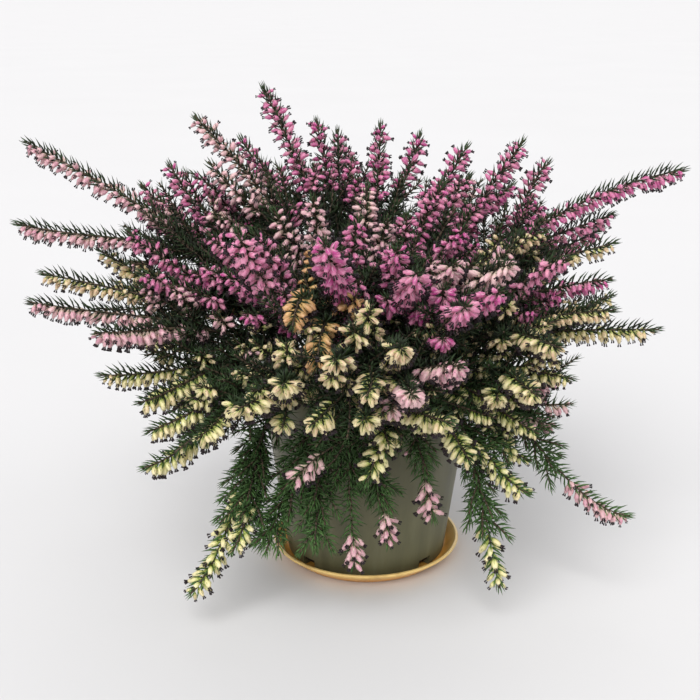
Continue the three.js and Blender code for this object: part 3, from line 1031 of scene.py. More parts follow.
class Finish:
    """What all finishes share.

    Attributes:
        name: The material's name.
        roughness: The shader's roughness where nothing is linked to it.
        gloss: The shader's specular level.
    """

    name: str
    roughness: float
    gloss: float = 0.5

    def dress(self, surface: Surface) -> None:
        """Adds the finish's own nodes to its material."""
        raise NotImplementedError

    def make(self) -> bpy.types.Material:
        """Builds the material.

        Returns:
            The material.
        """
        surface = Surface(self.name, self.roughness, self.gloss)
        self.dress(surface)
        return surface.material


@dataclass(frozen=True)
class MottledFinish(Finish):
    """A finish in two colours that one grain mixes, and that the grain raises if it has a relief."""

    name: str
    dark: Colour
    light: Colour
    places: Places
    grain: Grain
    roughness: float
    gloss: float = 0.5
    relief: Relief | None = None

    def dress(self, surface: Surface) -> None:
        """Mixes the colours by the grain, and raises it."""
        grain = surface.noise(self.grain)
        surface.paint(surface.ramp(grain, self.places, self.dark, self.light))
        if self.relief:
            surface.bump(grain, self.relief)


@dataclass(frozen=True)
class BellFinish(Finish):
    """Waxy petals that run from their stalk end to their mouth, some bells deeper than others.

    Attributes:
        name: The material's name.
        stalk: Colour at the stalk.
        body: Colour of the palest bells' bodies.
        deep: Colour of the deepest bells' bodies.
        mouth: Colour at the mouth.
    """

    name: str
    stalk: Colour
    body: Colour
    deep: Colour
    mouth: Colour
    roughness: float = 0.42
    pale_places: Places = (0.2, 0.5, 1.0)
    rich_places: Places = (0.15, 0.5, 0.75, 1.0)
    veins: Grain = Grain(900.0, 2.0, (1.0, 1.0, 0.3))
    vein_share: float = 0.22
    relief: Relief = Relief(0.25, 0.0003)

    def dress(self, surface: Surface) -> None:
        """Runs the colours along the petals, deeper where the tint is high, with fine veins."""
        along = surface.attribute("along")
        pale = surface.ramp(along, self.pale_places, self.stalk, self.body, self.mouth)
        rich = surface.ramp(along, self.rich_places, self.body, self.deep, self.deep, self.mouth)
        veins = surface.noise(self.veins)
        surface.paint_mottled(surface.mix(surface.attribute("tint"), pale, rich), veins, self.vein_share)
        surface.bump(veins, self.relief)


@dataclass(frozen=True)
class SepalFinish(Finish):
    """Papery pale sepals and stalks."""

    name: str
    root: Colour
    tip: Colour
    roughness: float = 0.55
    places: Places = (0.1, 0.7)
    veins: Grain = Grain(1200.0, 2.0)
    vein_share: float = 0.2

    def dress(self, surface: Surface) -> None:
        """Runs the colour from root to tip, with fine veins."""
        blend = surface.ramp(surface.attribute("along"), self.places, self.root, self.tip)
        surface.paint_mottled(blend, surface.noise(self.veins), self.vein_share)


@dataclass(frozen=True)
class NeedleFinish(Finish):
    """Dark needles, fresher where their tint is high, with dull tips."""

    name: str = "needles"
    old: Colour = (0.014, 0.017, 0.011)
    fresh: Colour = (0.080, 0.172, 0.046)
    edge: Colour = (0.025, 0.040, 0.018)
    edge_places: Places = (0.5, 1.0)
    edge_share: float = 0.6
    patches: Grain = Grain(60.0, 2.0)
    patch_share: float = 0.5
    roughness: float = 0.6
    gloss: float = 0.25

    def dress(self, surface: Surface) -> None:
        """Mixes the greens by the tint and dulls the tips."""
        base = surface.mix(surface.attribute("tint"), self.old, self.fresh)
        tips = surface.ramp(surface.attribute("along"), self.edge_places, grey(0.0), grey(self.edge_share))
        colour = surface.mix(tips, base, self.edge)
        surface.paint_mottled(colour, surface.noise(self.patches), self.patch_share)


@dataclass(frozen=True)
class PotFinish(Finish):
    """Dull recycled plastic, grey-olive with upright streaks, water marks and scuffs."""

    name: str = "pot_plastic"
    dark: Colour = (0.090, 0.088, 0.045)
    base: Colour = (0.116, 0.111, 0.056)
    pale: Colour = (0.152, 0.146, 0.082)
    places: Places = (0.35, 0.52, 0.72)
    streaks: Grain = Grain(90.0, 5.0, (1.0, 1.0, 0.08))
    blotches: Grain = Grain(28.0, 4.0)
    blotch_share: float = 0.45
    roughness: float = 0.5
    rough_places: Places = (0.3, 0.7)
    smooth: float = 0.38
    scuffed: float = 0.62
    relief: Relief = Relief(0.25, 0.0006)

    def dress(self, surface: Surface) -> None:
        """Lays the streaks, blots them, and roughens the scuffs."""
        streaks = surface.noise(self.streaks)
        blotches = surface.noise(self.blotches)
        shade = surface.ramp(streaks, self.places, self.dark, self.base, self.pale)
        surface.paint_mottled(shade, blotches, self.blotch_share)
        rough = surface.ramp(blotches, self.rough_places, grey(self.smooth), grey(self.scuffed))
        surface.link(rough, surface.shader.inputs["Roughness"])
        surface.bump(streaks, self.relief)


@dataclass(frozen=True)
class SaucerFinish(Finish):
    """Warm yellow plastic with stains, and painted light and shade: a pale rim and a darker orange dish;
    heights are in metres.
    """

    name: str = "saucer_plastic"
    # dish is the orange of the painted shade in the dish; rim is the pale yellow of the painted light on the
    # rim
    dish: Colour = (0.78, 0.38, 0.07)
    rim: Colour = (0.86, 0.60, 0.22)
    stain: Colour = (0.42, 0.20, 0.05)
    painted_shade_height: float = 0.002
    painted_light_height: float = 0.009
    places: Places = (0.1, 0.95)
    marks: Grain = Grain(70.0, 5.0)
    stain_places: Places = (0.56, 0.75)
    stain_share: float = 0.6
    roughness: float = 0.38

    def dress(self, surface: Surface) -> None:
        """Paints shade in the dish and light on the rim by height, and adds the stains."""
        rise = surface.add("MapRange")
        rise.inputs["From Min"].default_value = self.painted_shade_height
        rise.inputs["From Max"].default_value = self.painted_light_height
        surface.link(surface.height("Object"), rise.inputs["Value"])
        # Painted shade low in the dish, painted light up on the rim
        shade = surface.ramp(rise.outputs["Result"], self.places, self.dish, self.rim)
        marks = surface.noise(self.marks)
        spots = surface.ramp(marks, self.stain_places, grey(0.0), grey(self.stain_share))
        surface.paint(surface.mix(spots, shade, self.stain))


ANTHERS = MottledFinish(
    name="anthers", dark=(0.004, 0.001, 0.002), light=(0.022, 0.005, 0.012), places=(0.3, 0.8),
    grain=Grain(3000.0, 1.0), roughness=0.55,
)
BARK = MottledFinish(
    name="bark", dark=(0.035, 0.022, 0.014), light=(0.13, 0.09, 0.055), places=(0.35, 0.7),
    grain=Grain(700.0, 4.0), roughness=0.8, relief=Relief(0.6, 0.0004),
)
SOIL = MottledFinish(
    name="potting_soil", dark=(0.012, 0.008, 0.005), light=(0.07, 0.045, 0.03), places=(0.4, 0.7),
    grain=Grain(320.0, 6.0), roughness=0.95, relief=Relief(1.0, 0.002),
)
FLOOR_PAPER = MottledFinish(
    name="floor_paper", dark=(0.6501, 0.64222, 0.64222), light=(0.660, 0.652, 0.652), places=(0.3, 0.7),
    grain=Grain(3.0, 2.0), roughness=1.0, gloss=0.0,
)
BELLS = {
    Bloom.ROSE: BellFinish(
        "rose_bells", (0.74, 0.46, 0.48), (0.72, 0.29, 0.39), (0.46, 0.05, 0.23), (0.70, 0.28, 0.42),
    ),
    Bloom.BLUSH: BellFinish(
        "blush_bells", (0.74, 0.60, 0.46), (0.76, 0.51, 0.49), (0.56, 0.25, 0.33), (0.78, 0.52, 0.52),
    ),
    Bloom.CREAM: BellFinish(
        "cream_bells", (0.40, 0.50, 0.09), (0.77, 0.73, 0.33), (0.62, 0.42, 0.27), (0.80, 0.72, 0.44),
    ),
    Bloom.DRIED: BellFinish(
        "dried_bells", (0.60, 0.40, 0.14), (0.72, 0.46, 0.18), (0.42, 0.19, 0.08), (0.66, 0.38, 0.20),
    ),
}
SEPALS = {
    Bloom.ROSE: SepalFinish("rose_sepals", (0.60, 0.28, 0.36), (0.82, 0.46, 0.60)),
    Bloom.BLUSH: SepalFinish("blush_sepals", (0.62, 0.48, 0.32), (0.84, 0.66, 0.60)),
    Bloom.CREAM: SepalFinish("cream_sepals", (0.28, 0.40, 0.06), (0.60, 0.63, 0.24)),
    Bloom.DRIED: SepalFinish("dried_sepals", (0.50, 0.34, 0.12), (0.76, 0.54, 0.26)),
}
BELL_PITCHES = {Bloom.ROSE: 0.97, Bloom.BLUSH: 1.02, Bloom.CREAM: 1.3, Bloom.DRIED: 1.1}


@dataclass(frozen=True)
class Span:
    """Values from a least one upwards."""

    least: float
    more: float

    def at(self, share: float | np.ndarray) -> float | np.ndarray:
        """The value at a share from 0 to 1, or at each of an array of shares."""
        return self.least + self.more * share


@dataclass(frozen=True)
class Green:
    """How fresh needles are by the height of their run's tip, from 0 to 1.

    Attributes:
        most: The freshness near the ground.
        fade: The height in mm over which it would fall by 1.
        bounds: The least and the highest freshness.
        ground: The height in mm that counts as near the ground.
    """

    most: float
    fade: float
    bounds: tuple[float, float]
    ground: float = 40.0

    def at(self, height: float) -> float:
        """The freshness for a tip at that height."""
        return float(np.clip(self.most - (height - self.ground) / self.fade, *self.bounds))


@dataclass(frozen=True)
class WoodHabit:
    """How thick the stems are and how finely they bend, in mm."""

    stem_radius: float = 1.15
    tip_radius: float = 0.45
    twig_radius: float = 0.6
    buried: float = 5.0
    stem_steps: int = 22
    twig_steps: int = 4


@dataclass(frozen=True)
class TwigHabit:
    """Where a spray carries its short side twigs and how they bend, in mm and in shares of a length.

    They stop below the bells. A spray whose tip is low hangs, and has more and shorter twigs. A
    twig's two ways mix the spray's direction, outwards and, for its tip, upwards.
    """

    number: int = 11
    length: float = 33.0
    lengths: Span = Span(0.6, 0.7)
    low: float = 0.12
    least_room: float = 5.0
    flower_share: float = 0.75
    below_share: float = 20.0
    below_flower: float = 4.0
    hanging_below: float = 92.0
    hanging_more: int = 9
    hanging_length: float = 17.0
    hanging_high: float = 0.62
    leafy_number: int = 34
    leafy_high: float = 0.9
    root_way: tuple[float, float] = (0.9, 0.9)
    tip_way: Vector = (1.3, 0.6, 0.3)
    root_handle: float = 0.35
    tip_handle: float = 0.3


@dataclass(frozen=True)
class NeedleHabit:
    """How whorls of needles stand on a run, in mm, degrees and shares.

    At a run's tip they form a tuft, where they lean more, are smaller and are fresher.
    """

    whorl_size: int = 4
    pitch: float = 2.6
    twig_pitch: float = 3.0
    bare_share: float = 0.2
    twig_start: float = 2.0
    end_gap: float = 0.4
    twist: float = 45.0
    place_jitter: float = 0.5
    turn_jitter: float = 24.0
    lean: Span = Span(0.35, 0.45)
    lift: float = 0.25
    root_out: float = 0.5
    size: Span = Span(0.8, 0.3)
    green_jitter: float = 0.3
    tuft: float = 9.0
    tuft_lean: float = 1.9
    tuft_smaller: float = 0.45
    tuft_fresher: float = 0.25
    spray_green: Green = Green(0.75, 160.0, (0.12, 0.8))
    twig_green: Green = Green(0.85, 150.0, (0.1, 0.9))
    leafy_green: float = 0.85


@dataclass(frozen=True)
class BellHabit:
    """How bells hang on a run, in mm, radians and shares.

    They stand all round a steep run and hang underneath a level one. At a run's tip they are young,
    which is smaller and deeper in colour.
    """

    end_gap: float = 3.0
    first: float = 8.0
    gaps: float = 0.1
    cream_every: int = 2
    other_every: int = 3
    twig_flower: float = 11.0
    twig_above_left: float = 122.0
    twig_above_right: float = 86.0
    level_start: float = 1.3
    level_slope: float = 1.5
    underneath: float = 0.62
    turn_jitter: float = 0.7
    out: Span = Span(0.9, 0.2)
    ahead: Span = Span(0.25, 0.35)
    droop: float = 0.45
    level_droop: float = 0.35
    scatter: float = 0.3
    root_out: float = 0.6
    young: float = 9.0
    young_smaller: float = 0.3
    young_deeper: float = 0.3
    size: Span = Span(0.88, 0.24)
    front_from: float = -84.0
    front_size: float = 1.02
    far_size: float = 0.86
    tint_jitter: float = 0.55
    tone: Span = Span(-0.05, 0.5)
    cream_low: float = 120.0
    cream_fade: float = 90.0
    cream_tones: tuple[float, float] = (-0.2, 0.6)


@dataclass
class LeafyStem:
    """One stem of the plant with its fork, its short side twigs, needles and bells.

    Attributes:
        number: The stem's number, from 1, as in its node's name.
        bloom: The colour of its bells.
        sprays: Its main spray and its fork.
        shapes: The templates by name.
        timber: How its wood grows.
        twig: How its side twigs grow.
        needle: How its needles grow.
        bell: How its bells grow.
        first_seed: What its number is added to for its random numbers.
    """

    number: int
    bloom: Bloom
    sprays: list[Spray]
    shapes: dict[str, Template]
    timber: WoodHabit = WoodHabit()
    twig: TwigHabit = TwigHabit()
    needle: NeedleHabit = NeedleHabit()
    bell: BellHabit = BellHabit()
    first_seed: int = 7000

    def __post_init__(self) -> None:
        """Measures its sprays and grows its twigs."""
        self.node = f"{self.bloom.value}_stem_{self.number:02d}"
        self.runs = [(Run(spray.points), spray.flower) for spray in self.sprays]
        self.draw = np.random.default_rng(self.first_seed + self.number)
        self.twigs = self.twig_runs()

    def twig_runs(self) -> list[Run]:
        """Short leafy side twigs that fill the plant between its sprays.

        Returns:
            Their curves.
        """
        habit = self.twig
        runs = []
        for run, flower in self.runs:
            low = habit.low * run.length
            bare = max(habit.flower_share * flower + habit.below_share, flower + habit.below_flower)
            high = max(low + habit.least_room, run.length - bare)
            number, usual = habit.number, habit.length
            if run.tip[2] < habit.hanging_below:
                number += habit.hanging_more
                high = habit.hanging_high * run.length
                usual = habit.hanging_length
            if self.bloom is Bloom.LEAFY:
                number = habit.leafy_number
                high = habit.leafy_high * run.length
            for index in range(number):
                distance = low + (high - low) * (index + self.draw.random()) / number
                angle = GOLDEN * (index + self.number) + self.draw.random()
                length = usual * habit.lengths.at(self.draw.random())
                runs.append(self.side_twig(run, distance, angle, length))
        return runs

    def side_twig(self, run: Run, distance: float, angle: float, length: float) -> Run:
        """One short side twig.

        Args:
            run: The spray that it grows on.
            distance: Where on the spray it stands.
            angle: Its turn about the spray, in radians.
            length: Its length.

        Returns:
            Its curve.
        """
        habit = self.twig
        places, ahead, side, top = run.at(np.array([distance]))
        start = places[0]
        out = math.cos(angle) * top[0] + math.sin(angle) * side[0]
        along = unit(habit.root_way[0] * ahead[0] + habit.root_way[1] * out)
        upwards = np.array((0, 0, habit.tip_way[2]))
        bent = unit(habit.tip_way[0] * ahead[0] + habit.tip_way[1] * out + upwards)
        half = 0.5 * length
        tip = start + half * along + half * bent
        first = start + habit.root_handle * length * along
        second = tip - habit.tip_handle * length * bent
        return Run(np.array((start, first, second, tip)))

    def wood(self, bark: bpy.types.Material) -> bpy.types.Object:
        """The stem, fork and twigs as tapering tubes.

        Args:
            bark: Their material.

        Returns:
            The mesh object.
        """
        habit = self.timber
        curve = bpy.data.curves.new(self.node + "_wood", "CURVE")
        curve.dimensions = "3D"
        curve.bevel_depth = MM
        curve.bevel_resolution = 0
        curve.use_fill_caps = True
        tubes = [(run, habit.stem_radius, habit.stem_steps) for run, _ in self.runs]
        tubes += [(run, habit.twig_radius, habit.twig_steps) for run in self.twigs]
        for run, radius, steps in tubes:
            places, *_ = run.at(np.linspace(0, run.length, steps))
            if run is self.runs[0][0]:
                foot = places[0] - np.array((0, 0, habit.buried))
                places = np.concatenate((foot[None], places))
            spline = curve.splines.new("POLY")
            spline.points.add(len(places) - 1)
            radii = np.linspace(radius, habit.tip_radius, len(places))
            for point, place, thick in zip(spline.points, places * MM, radii):
                point.co = (*place, 1)
                point.radius = thick
        made = bpy.data.objects.new(self.node + "_wood", curve)
        bpy.context.scene.collection.objects.link(made)
        select_only(made)
        bpy.ops.object.convert(target="MESH")
        made = bpy.context.object
        made.data.materials.clear()
        made.data.materials.append(bark)
        bpy.ops.object.shade_smooth()
        return made

    def dress_needles(self, gathering: Gathering, run: Run, start: float, fresh: float, shape: str) -> None:
        """Places whorls of needles along a run, with a tuft of short ones at its tip.

        Args:
            gathering: What the needles are added to.
            run: The run that they grow on.
            start: Where the lowest whorl stands, in mm along the run.
            fresh: How fresh their green is, from 0 to 1.
            shape: Which template they are copies of.
        """
        habit = self.needle
        pitch = habit.pitch if shape == "needle" else habit.twig_pitch
        stations = np.arange(start, run.length - habit.end_gap, pitch)
        count = len(stations) * habit.whorl_size
        distance = np.repeat(stations, habit.whorl_size) + habit.place_jitter * self.draw.random(count)
        places, ahead, side, top = run.at(distance)
        step = np.tile(np.arange(habit.whorl_size), len(stations))
        twist = np.repeat(np.arange(len(stations)) % 2 * habit.twist, habit.whorl_size)
        jitter = habit.turn_jitter * (self.draw.random(count) - 0.5)
        angle = np.radians(360 / habit.whorl_size * step + twist + jitter)
        out = np.cos(angle)[:, None] * top + np.sin(angle)[:, None] * side
        near_tip = np.clip(1 - (run.length - distance) / habit.tuft, 0, 1)
        lean = habit.lean.at(self.draw.random(count)) + habit.tuft_lean * near_tip
        away = out + ahead * lean[:, None]
        away[:, 2] += habit.lift
        scales = habit.size.at(self.draw.random(count)) * (1 - habit.tuft_smaller * near_tip)
        scatter = habit.green_jitter * (self.draw.random(count) - 0.5)
        tints = np.clip(fresh + scatter + habit.tuft_fresher * near_tip, 0, 1)
        gathering.add(self.shapes[shape], places + out * habit.root_out, away, ahead, scales, tints)

    def leaves(self, bark: bpy.types.Material, needles: bpy.types.Material) -> bpy.types.Object:
        """The stem's wood and all its needles as one piece.

        Args:
            bark: The wood's material.
            needles: The needles' material.

        Returns:
            The joined piece.
        """
        habit = self.needle
        gathering = Gathering()
        for run, _ in self.runs:
            fresh = habit.leafy_green if self.bloom is Bloom.LEAFY else habit.spray_green.at(run.tip[2])
            self.dress_needles(gathering, run, habit.bare_share * run.length, fresh, "needle")
        for run in self.twigs:
            shape = "needle" if run.tip[2] < self.twig.hanging_below else "short_needle"
            self.dress_needles(gathering, run, habit.twig_start, habit.twig_green.at(run.tip[2]), shape)
        wood = self.wood(bark)
        piece = gathering.piece(self.node + "_leaves", [needles])
        select_only(piece)
        wood.select_set(True)
        bpy.ops.object.join()
        return piece

    def blooms(self, run: Run) -> bool:
        """True for a twig that is high enough to flower; the right side flowers lower down."""
        lowest = self.bell.twig_above_left if run.tip[0] < 0 else self.bell.twig_above_right
        return bool(run.tip[2] > lowest)

    def tone(self, run: Run) -> float:
        """How deep a run's bells are coloured: cream ones deepen with height, the others by chance.

        Args:
            run: The run.

        Returns:
            What is added to the tint of each of its bells.
        """
        habit = self.bell
        if self.bloom is Bloom.CREAM:
            return float(np.clip((run.tip[2] - habit.cream_low) / habit.cream_fade, *habit.cream_tones))
        return habit.tone.at(self.draw.random())

    def hang_bells(self, gathering: Gathering, run: Run, flower: float) -> None:
        """Hangs bells along a run.

        Args:
            gathering: What the bells are added to.
            run: The run.
            flower: Its length in flower.
        """
        habit = self.bell
        end = run.length - habit.end_gap
        stations = np.arange(max(habit.first, end - flower), end, BELL_PITCHES[self.bloom])
        order = np.arange(len(stations))
        kept = self.draw.random(len(stations)) > habit.gaps
        stations, order = stations[kept], order[kept]
        count = len(stations)
        places, ahead, side, top = run.at(stations)
        level = np.clip(habit.level_start - habit.level_slope * np.abs(ahead[:, 2]), 0, 1)
        spin = GOLDEN * order + habit.turn_jitter * self.draw.random(count)
        spin = (spin + np.pi) % (2 * np.pi) - np.pi
        below = np.pi - habit.underneath * (np.pi - np.abs(spin))
        angle = np.sign(spin) * (level * below + (1 - level) * np.abs(spin))
        out = np.cos(angle)[:, None] * top + np.sin(angle)[:, None] * side
        away = out * habit.out.at(self.draw.random(count))[:, None]
        away += ahead * habit.ahead.at(self.draw.random(count))[:, None]
        away[:, 2] -= habit.droop + habit.level_droop * level * self.draw.random(count)
        away += 2 * habit.scatter * (self.draw.random((count, 3)) - 0.5)
        young = np.clip(1 - (end - stations) / habit.young, 0, 1)
        size = habit.front_size if run.tip[1] < habit.front_from else habit.far_size
        scales = size * habit.size.at(self.draw.random(count)) * (1 - habit.young_smaller * young)
        tints = self.tone(run) + habit.tint_jitter * self.draw.random(count) + habit.young_deeper * young
        roots = places + out * habit.root_out
        gathering.add(self.shapes["bell"], roots, away, ahead, scales, np.clip(tints, 0, 1))

    def bells(self, materials: list[bpy.types.Material]) -> bpy.types.Object:
        """All the stem's bells as one piece.

        Args:
            materials: The petals', the sepals' and the anthers' materials.

        Returns:
            The piece.
        """
        gathering = Gathering()
        every = self.bell.cream_every if self.bloom is Bloom.CREAM else self.bell.other_every
        twigs = [(run, self.bell.twig_flower) for run in self.twigs[1::every] if self.blooms(run)]
        for run, flower in self.runs + twigs:
            self.hang_bells(gathering, run, flower)
        return gathering.piece(self.node + "_bells", materials)


@dataclass
class Pot:
    """The tapered plastic pot, in mm, on the same sizes as its solid.

    A rounding gives, for each point of it, how far out and up it lies from the sharp edge.
    """

    bottom: float
    height: float
    base: float
    top: float
    lip_out: float
    wall: float = 1.8
    floor: float = 2.6
    lip_height: float = 9.0
    sides: int = 96
    foot_round: float = 0.6
    waist: float = 0.45
    lip_under: Outline = ((-0.3, 0.4), (0.0, 1.1))
    lip_round: Outline = ((0.0, -0.5), (-0.5, 0.0))
    mouth_round: Outline = ((0.4, 0.0), (0.0, -0.5))
    smooth_below: float = 35.0
    notch_depth: float = 14.0
    notch_width: float = 9.0
    notch_height: float = 6.0
    notch_inset: float = 1.0
    notch_turns: tuple[int, ...] = (45, 135, 225, 315)
    finish: PotFinish = PotFinish()

    def outer(self, height: float) -> float:
        """The wall's outer radius at a height above the pot's underside."""
        return self.base + (self.top - self.base) / self.height * height

    def inner(self, height: float) -> float:
        """The wall's inner radius at a height above the pot's underside."""
        return self.outer(height) - self.wall

    def build(self) -> bpy.types.Object:
        """Models the pot: its wall, rolled lip and drainage notches.

        Returns:
            The finished pot.
        """
        shoulder = self.height - self.lip_height
        edge = self.outer(shoulder) + self.lip_out
        lip = self.outer(self.height) + self.lip_out
        waist = self.waist * shoulder
        profile = [
            (self.outer(0) - self.foot_round, 0), (self.outer(self.foot_round), self.foot_round),
            (self.outer(waist), waist), (self.outer(shoulder), shoulder),
        ]
        profile += [(edge + out, shoulder + up) for out, up in self.lip_under]
        profile += [(lip + out, self.height + up) for out, up in self.lip_round]
        profile += [(self.inner(self.height) + out, self.height + up) for out, up in self.mouth_round]
        profile.append((self.inner(self.floor), self.floor))
        profile = [(radius, height + self.bottom) for radius, height in profile]
        made = Bench.ringed("pot_shell", self.sides, profile)
        for turn in self.notch_turns:
            self.cut_notch(made, turn)
        select_only(made)
        bpy.ops.object.shade_smooth_by_angle(angle=math.radians(self.smooth_below))
        made.data.materials.clear()
        made.data.materials.append(self.finish.make())
        return made

    def cut_notch(self, made: bpy.types.Object, turn: float) -> None:
        """Cuts one drainage notch where wall and floor meet.

        Args:
            made: The pot.
            turn: Where the notch stands, in degrees about Z.
        """
        x, y, _ = heading(turn, 0) * (self.base - self.notch_inset) * MM
        cutter = Bench.start(bpy.ops.mesh.primitive_cube_add, size=1, location=(x, y, self.bottom * MM),
                             rotation=(0, 0, math.radians(turn)))
        bpy.ops.object.mode_set(mode="OBJECT")
        cutter.scale = (self.notch_depth * MM, self.notch_width * MM, 2 * self.notch_height * MM)
        bpy.ops.object.transform_apply(location=True, rotation=True, scale=True)
        cut = made.modifiers.new("notch", "BOOLEAN")
        cut.object = cutter
        cut.operation = "DIFFERENCE"
        select_only(made)
        bpy.ops.object.modifier_apply(modifier=cut.name)
        bpy.data.objects.remove(cutter, do_unlink=True)


@dataclass
class Saucer:
    """The shallow round saucer, in mm, on the same sizes as its solid.

    A rounding gives, for each point of it, how far out and up it lies from the sharp edge.
    """

    rim: float = 54.0
    foot: float = 44.0
    height: float = 9.0
    floor: float = 2.4
    dish: float = 47.0
    wall: float = 1.8
    sides: int = 96
    foot_round: Outline = ((0.0, 0.0), (1.2, 0.5))
    rim_round: Outline = ((-0.4, -1.6), (0.0, -0.8), (-0.25, -0.15), (-0.9, 0.0))
    inner_round: Outline = ((0.25, -0.15), (0.0, -0.7))
    dish_round: Outline = ((1.0, 1.1), (0.0, 0.35), (-1.2, 0.0))
    smooth_below: float = 50.0
    finish: SaucerFinish = SaucerFinish()

    def build(self) -> bpy.types.Object:
        """Models the saucer with a rounded rim and a soft corner in its dish.

        Returns:
            The finished saucer.
        """
        edges = (
            (self.foot, 0, self.foot_round),
            (self.rim, self.height, self.rim_round),
            (self.rim - self.wall, self.height, self.inner_round),
            (self.dish, self.floor, self.dish_round),
        )
        profile = [(radius + out, height + up) for radius, height, steps in edges for out, up in steps]
        made = Bench.ringed("saucer_dish", self.sides, profile)
        select_only(made)
        bpy.ops.object.shade_smooth_by_angle(angle=math.radians(self.smooth_below))
        made.data.materials.append(self.finish.make())
        return made


@dataclass
class Soil:
    """The potting soil, crumbly on top, in mm."""

    low: float
    low_radius: float
    edge: float
    edge_radius: float
    rise: float
    sides: int = 72
    rings: int = 12
    side_drop: float = 1.2
    top_drop: float = 0.8
    top_inset: float = 0.5
    crumb: float = 1.1
    crumb_below: float = 1.0
    crumb_sink: float = 0.7
    seed: int = 31
    finish: MottledFinish = SOIL

    def build(self) -> bpy.types.Object:
        """Models the soil as a plug with a lumpy top.

        Returns:
            The finished soil.
        """
        profile = [(self.low_radius, self.low), (self.edge_radius, self.edge - self.side_drop)]
        for ring in range(self.rings):
            share = 1 - ring / self.rings
            radius = (self.edge_radius - self.top_inset) * share
            profile.append((radius, self.edge - self.top_drop + self.rise * (1 - share)))
        made = Bench.ringed("soil_plug", self.sides, profile)
        lumps = seeded(self.seed)
        for vertex in made.data.vertices:
            if vertex.co.z > (self.edge - self.crumb_below) * MM:
                vertex.co.z += (lumps() - self.crumb_sink) * self.crumb * MM
        select_only(made)
        bpy.ops.object.shade_smooth()
        made.data.materials.append(self.finish.make())
        return made


@dataclass(frozen=True)
class Lamp:
    """Soft light that comes from one side, the same everywhere.

    Attributes:
        name: The lamp's name.
        side: The side that it comes from, seen from the plant.
        power: Its strength.
        spread: How wide its disc is, in degrees, which softens the shadows.
    """

    name: str
    side: Vector
    power: float
    spread: float

    def build(self) -> None:
        """Adds the lamp."""
        light = bpy.data.lights.new(self.name, "SUN")
        light.energy = self.power
        light.angle = math.radians(self.spread)
        made = bpy.data.objects.new(self.name, light)
        across, along, up = self.side
        tilt = math.atan2(math.hypot(across, along), up)
        made.rotation_euler = (tilt, 0, math.atan2(along, across) + math.pi / 2)
        bpy.context.scene.collection.objects.link(made)


@dataclass
class Studio:
    """A plain pale floor, soft light and the camera at the photo's angle, in metres."""

    camera_place: Vector = (-0.0094, -0.6025, 0.3144)
    camera_down: float = 17.8
    focal_pixels: float = 1132.0
    image_pixels: float = 700.0
    sensor: float = 36.0
    near: float = 0.01
    floor_size: float = 90.0
    floor_finish: MottledFinish = FLOOR_PAPER
    room_low: Colour = (0.90, 0.90, 0.905)
    room_high: Colour = (0.50, 0.505, 0.52)
    room_places: Places = (0.02, 0.35)
    lamps: tuple[Lamp, ...] = (
        Lamp("key", (-0.35, -0.95, 1.05), 2.9, 50.0),
        Lamp("fill", (0.8, -0.5, 0.6), 0.5, 70.0),
        Lamp("back", (0.25, 0.95, 0.7), 0.9, 60.0),
    )

    def build(self) -> None:
        """Places the camera, the floor, the lamps and the surrounding light."""
        self.camera()
        self.floor()
        for lamp in self.lamps:
            lamp.build()
        self.room()

    def camera(self) -> None:
        """Places the camera where the photo was taken from."""
        lens = bpy.data.cameras.new("camera")
        lens.sensor_width = self.sensor
        lens.lens = self.focal_pixels / self.image_pixels * self.sensor
        lens.clip_start = self.near
        camera = bpy.data.objects.new("camera", lens)
        camera.location = self.camera_place
        camera.rotation_euler = (math.radians(90 - self.camera_down), 0, 0)
        bpy.context.scene.collection.objects.link(camera)
        bpy.context.scene.camera = camera

    def floor(self) -> None:
        """Lays the floor, which isn't part of the object."""
        made = Bench.start(bpy.ops.mesh.primitive_plane_add, size=self.floor_size)
        bpy.ops.object.mode_set(mode="OBJECT")
        made.name = "floor"
        made.data.materials.append(self.floor_finish.make())

    def room(self) -> None:
        """Surrounds the object with light that is brighter near the floor."""
        world = bpy.data.worlds.new("soft_room")
        world.use_nodes = True
        nodes = Nodes(world.node_tree)
        glow = nodes.ramp(nodes.height("Generated"), self.room_places, self.room_low, self.room_high)
        nodes.link(glow, world.node_tree.nodes["Background"].inputs["Color"])
        bpy.context.scene.world = world
        bpy.context.scene.view_settings.view_transform = "Standard"


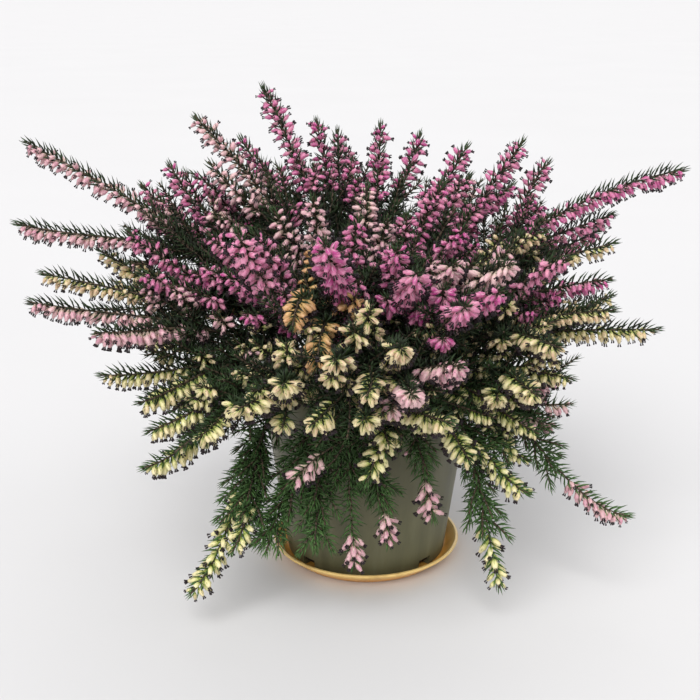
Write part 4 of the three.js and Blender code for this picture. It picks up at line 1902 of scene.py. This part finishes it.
def settle(piece: bpy.types.Object, material_slot: str, *nodes: str) -> None:
    """Ties a finished piece to the body and the solids that it stands for.

    Args:
        piece: The finished piece.
        material_slot: The record's slot for its finish; not used.
        *nodes: The solids that it replaces.
    """
    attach(piece, "root")
    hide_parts(*nodes)
    log.info("%s: %d faces", piece.name, len(piece.data.polygons))


def build_container(layout: HeathLayout) -> None:
    """Models the saucer, the pot and the soil.

    Args:
        layout: The plant's layout, which holds the pot's and the soil's main sizes.
    """
    settle(Saucer().build(), "saucer_plastic", "saucer")
    pot = Pot(layout.pot_bottom, layout.pot_height, layout.pot_base, layout.pot_top, layout.lip_out)
    settle(pot.build(), "pot_plastic", "pot")
    low = pot.floor + layout.gap
    soil = Soil(
        low=pot.bottom + low,
        low_radius=pot.inner(low) - layout.gap,
        edge=layout.soil_top,
        edge_radius=pot.inner(layout.soil_top - pot.bottom) - layout.gap,
        rise=layout.soil_rise,
    )
    settle(soil.build(), "potting_soil", "soil")


def build_plant(layout: HeathLayout) -> None:
    """Grows every leafy stem.

    Args:
        layout: Where the sprays run.
    """
    florets = FloretShapes()
    shapes = {"bell": florets.bell(), "needle": florets.needle(), "short_needle": florets.short_needle()}
    bark = BARK.make()
    needles = NeedleFinish().make()
    anthers = ANTHERS.make()
    petals = {bloom: finish.make() for bloom, finish in BELLS.items()}
    sepals = {bloom: finish.make() for bloom, finish in SEPALS.items()}
    for index, row in enumerate(layout.rows):
        sprays = [spray for spray in layout.sprays if spray.stem == index]
        stem = LeafyStem(index + 1, row.bloom, sprays, shapes)
        settle(stem.leaves(bark, needles), "needles", stem.node)
        if row.bloom is not Bloom.LEAFY:
            bells = stem.bells([petals[row.bloom], sepals[row.bloom], anthers])
            settle(bells, f"{row.bloom.value}_bloom", stem.node)


def main() -> None:
    """Builds the studio, the container and the plant."""
    logging.basicConfig(level=logging.INFO, format="%(name)s: %(message)s")
    Studio().build()
    layout = HeathLayout()
    build_container(layout)
    build_plant(layout)


if __name__ == "__main__":
    main()
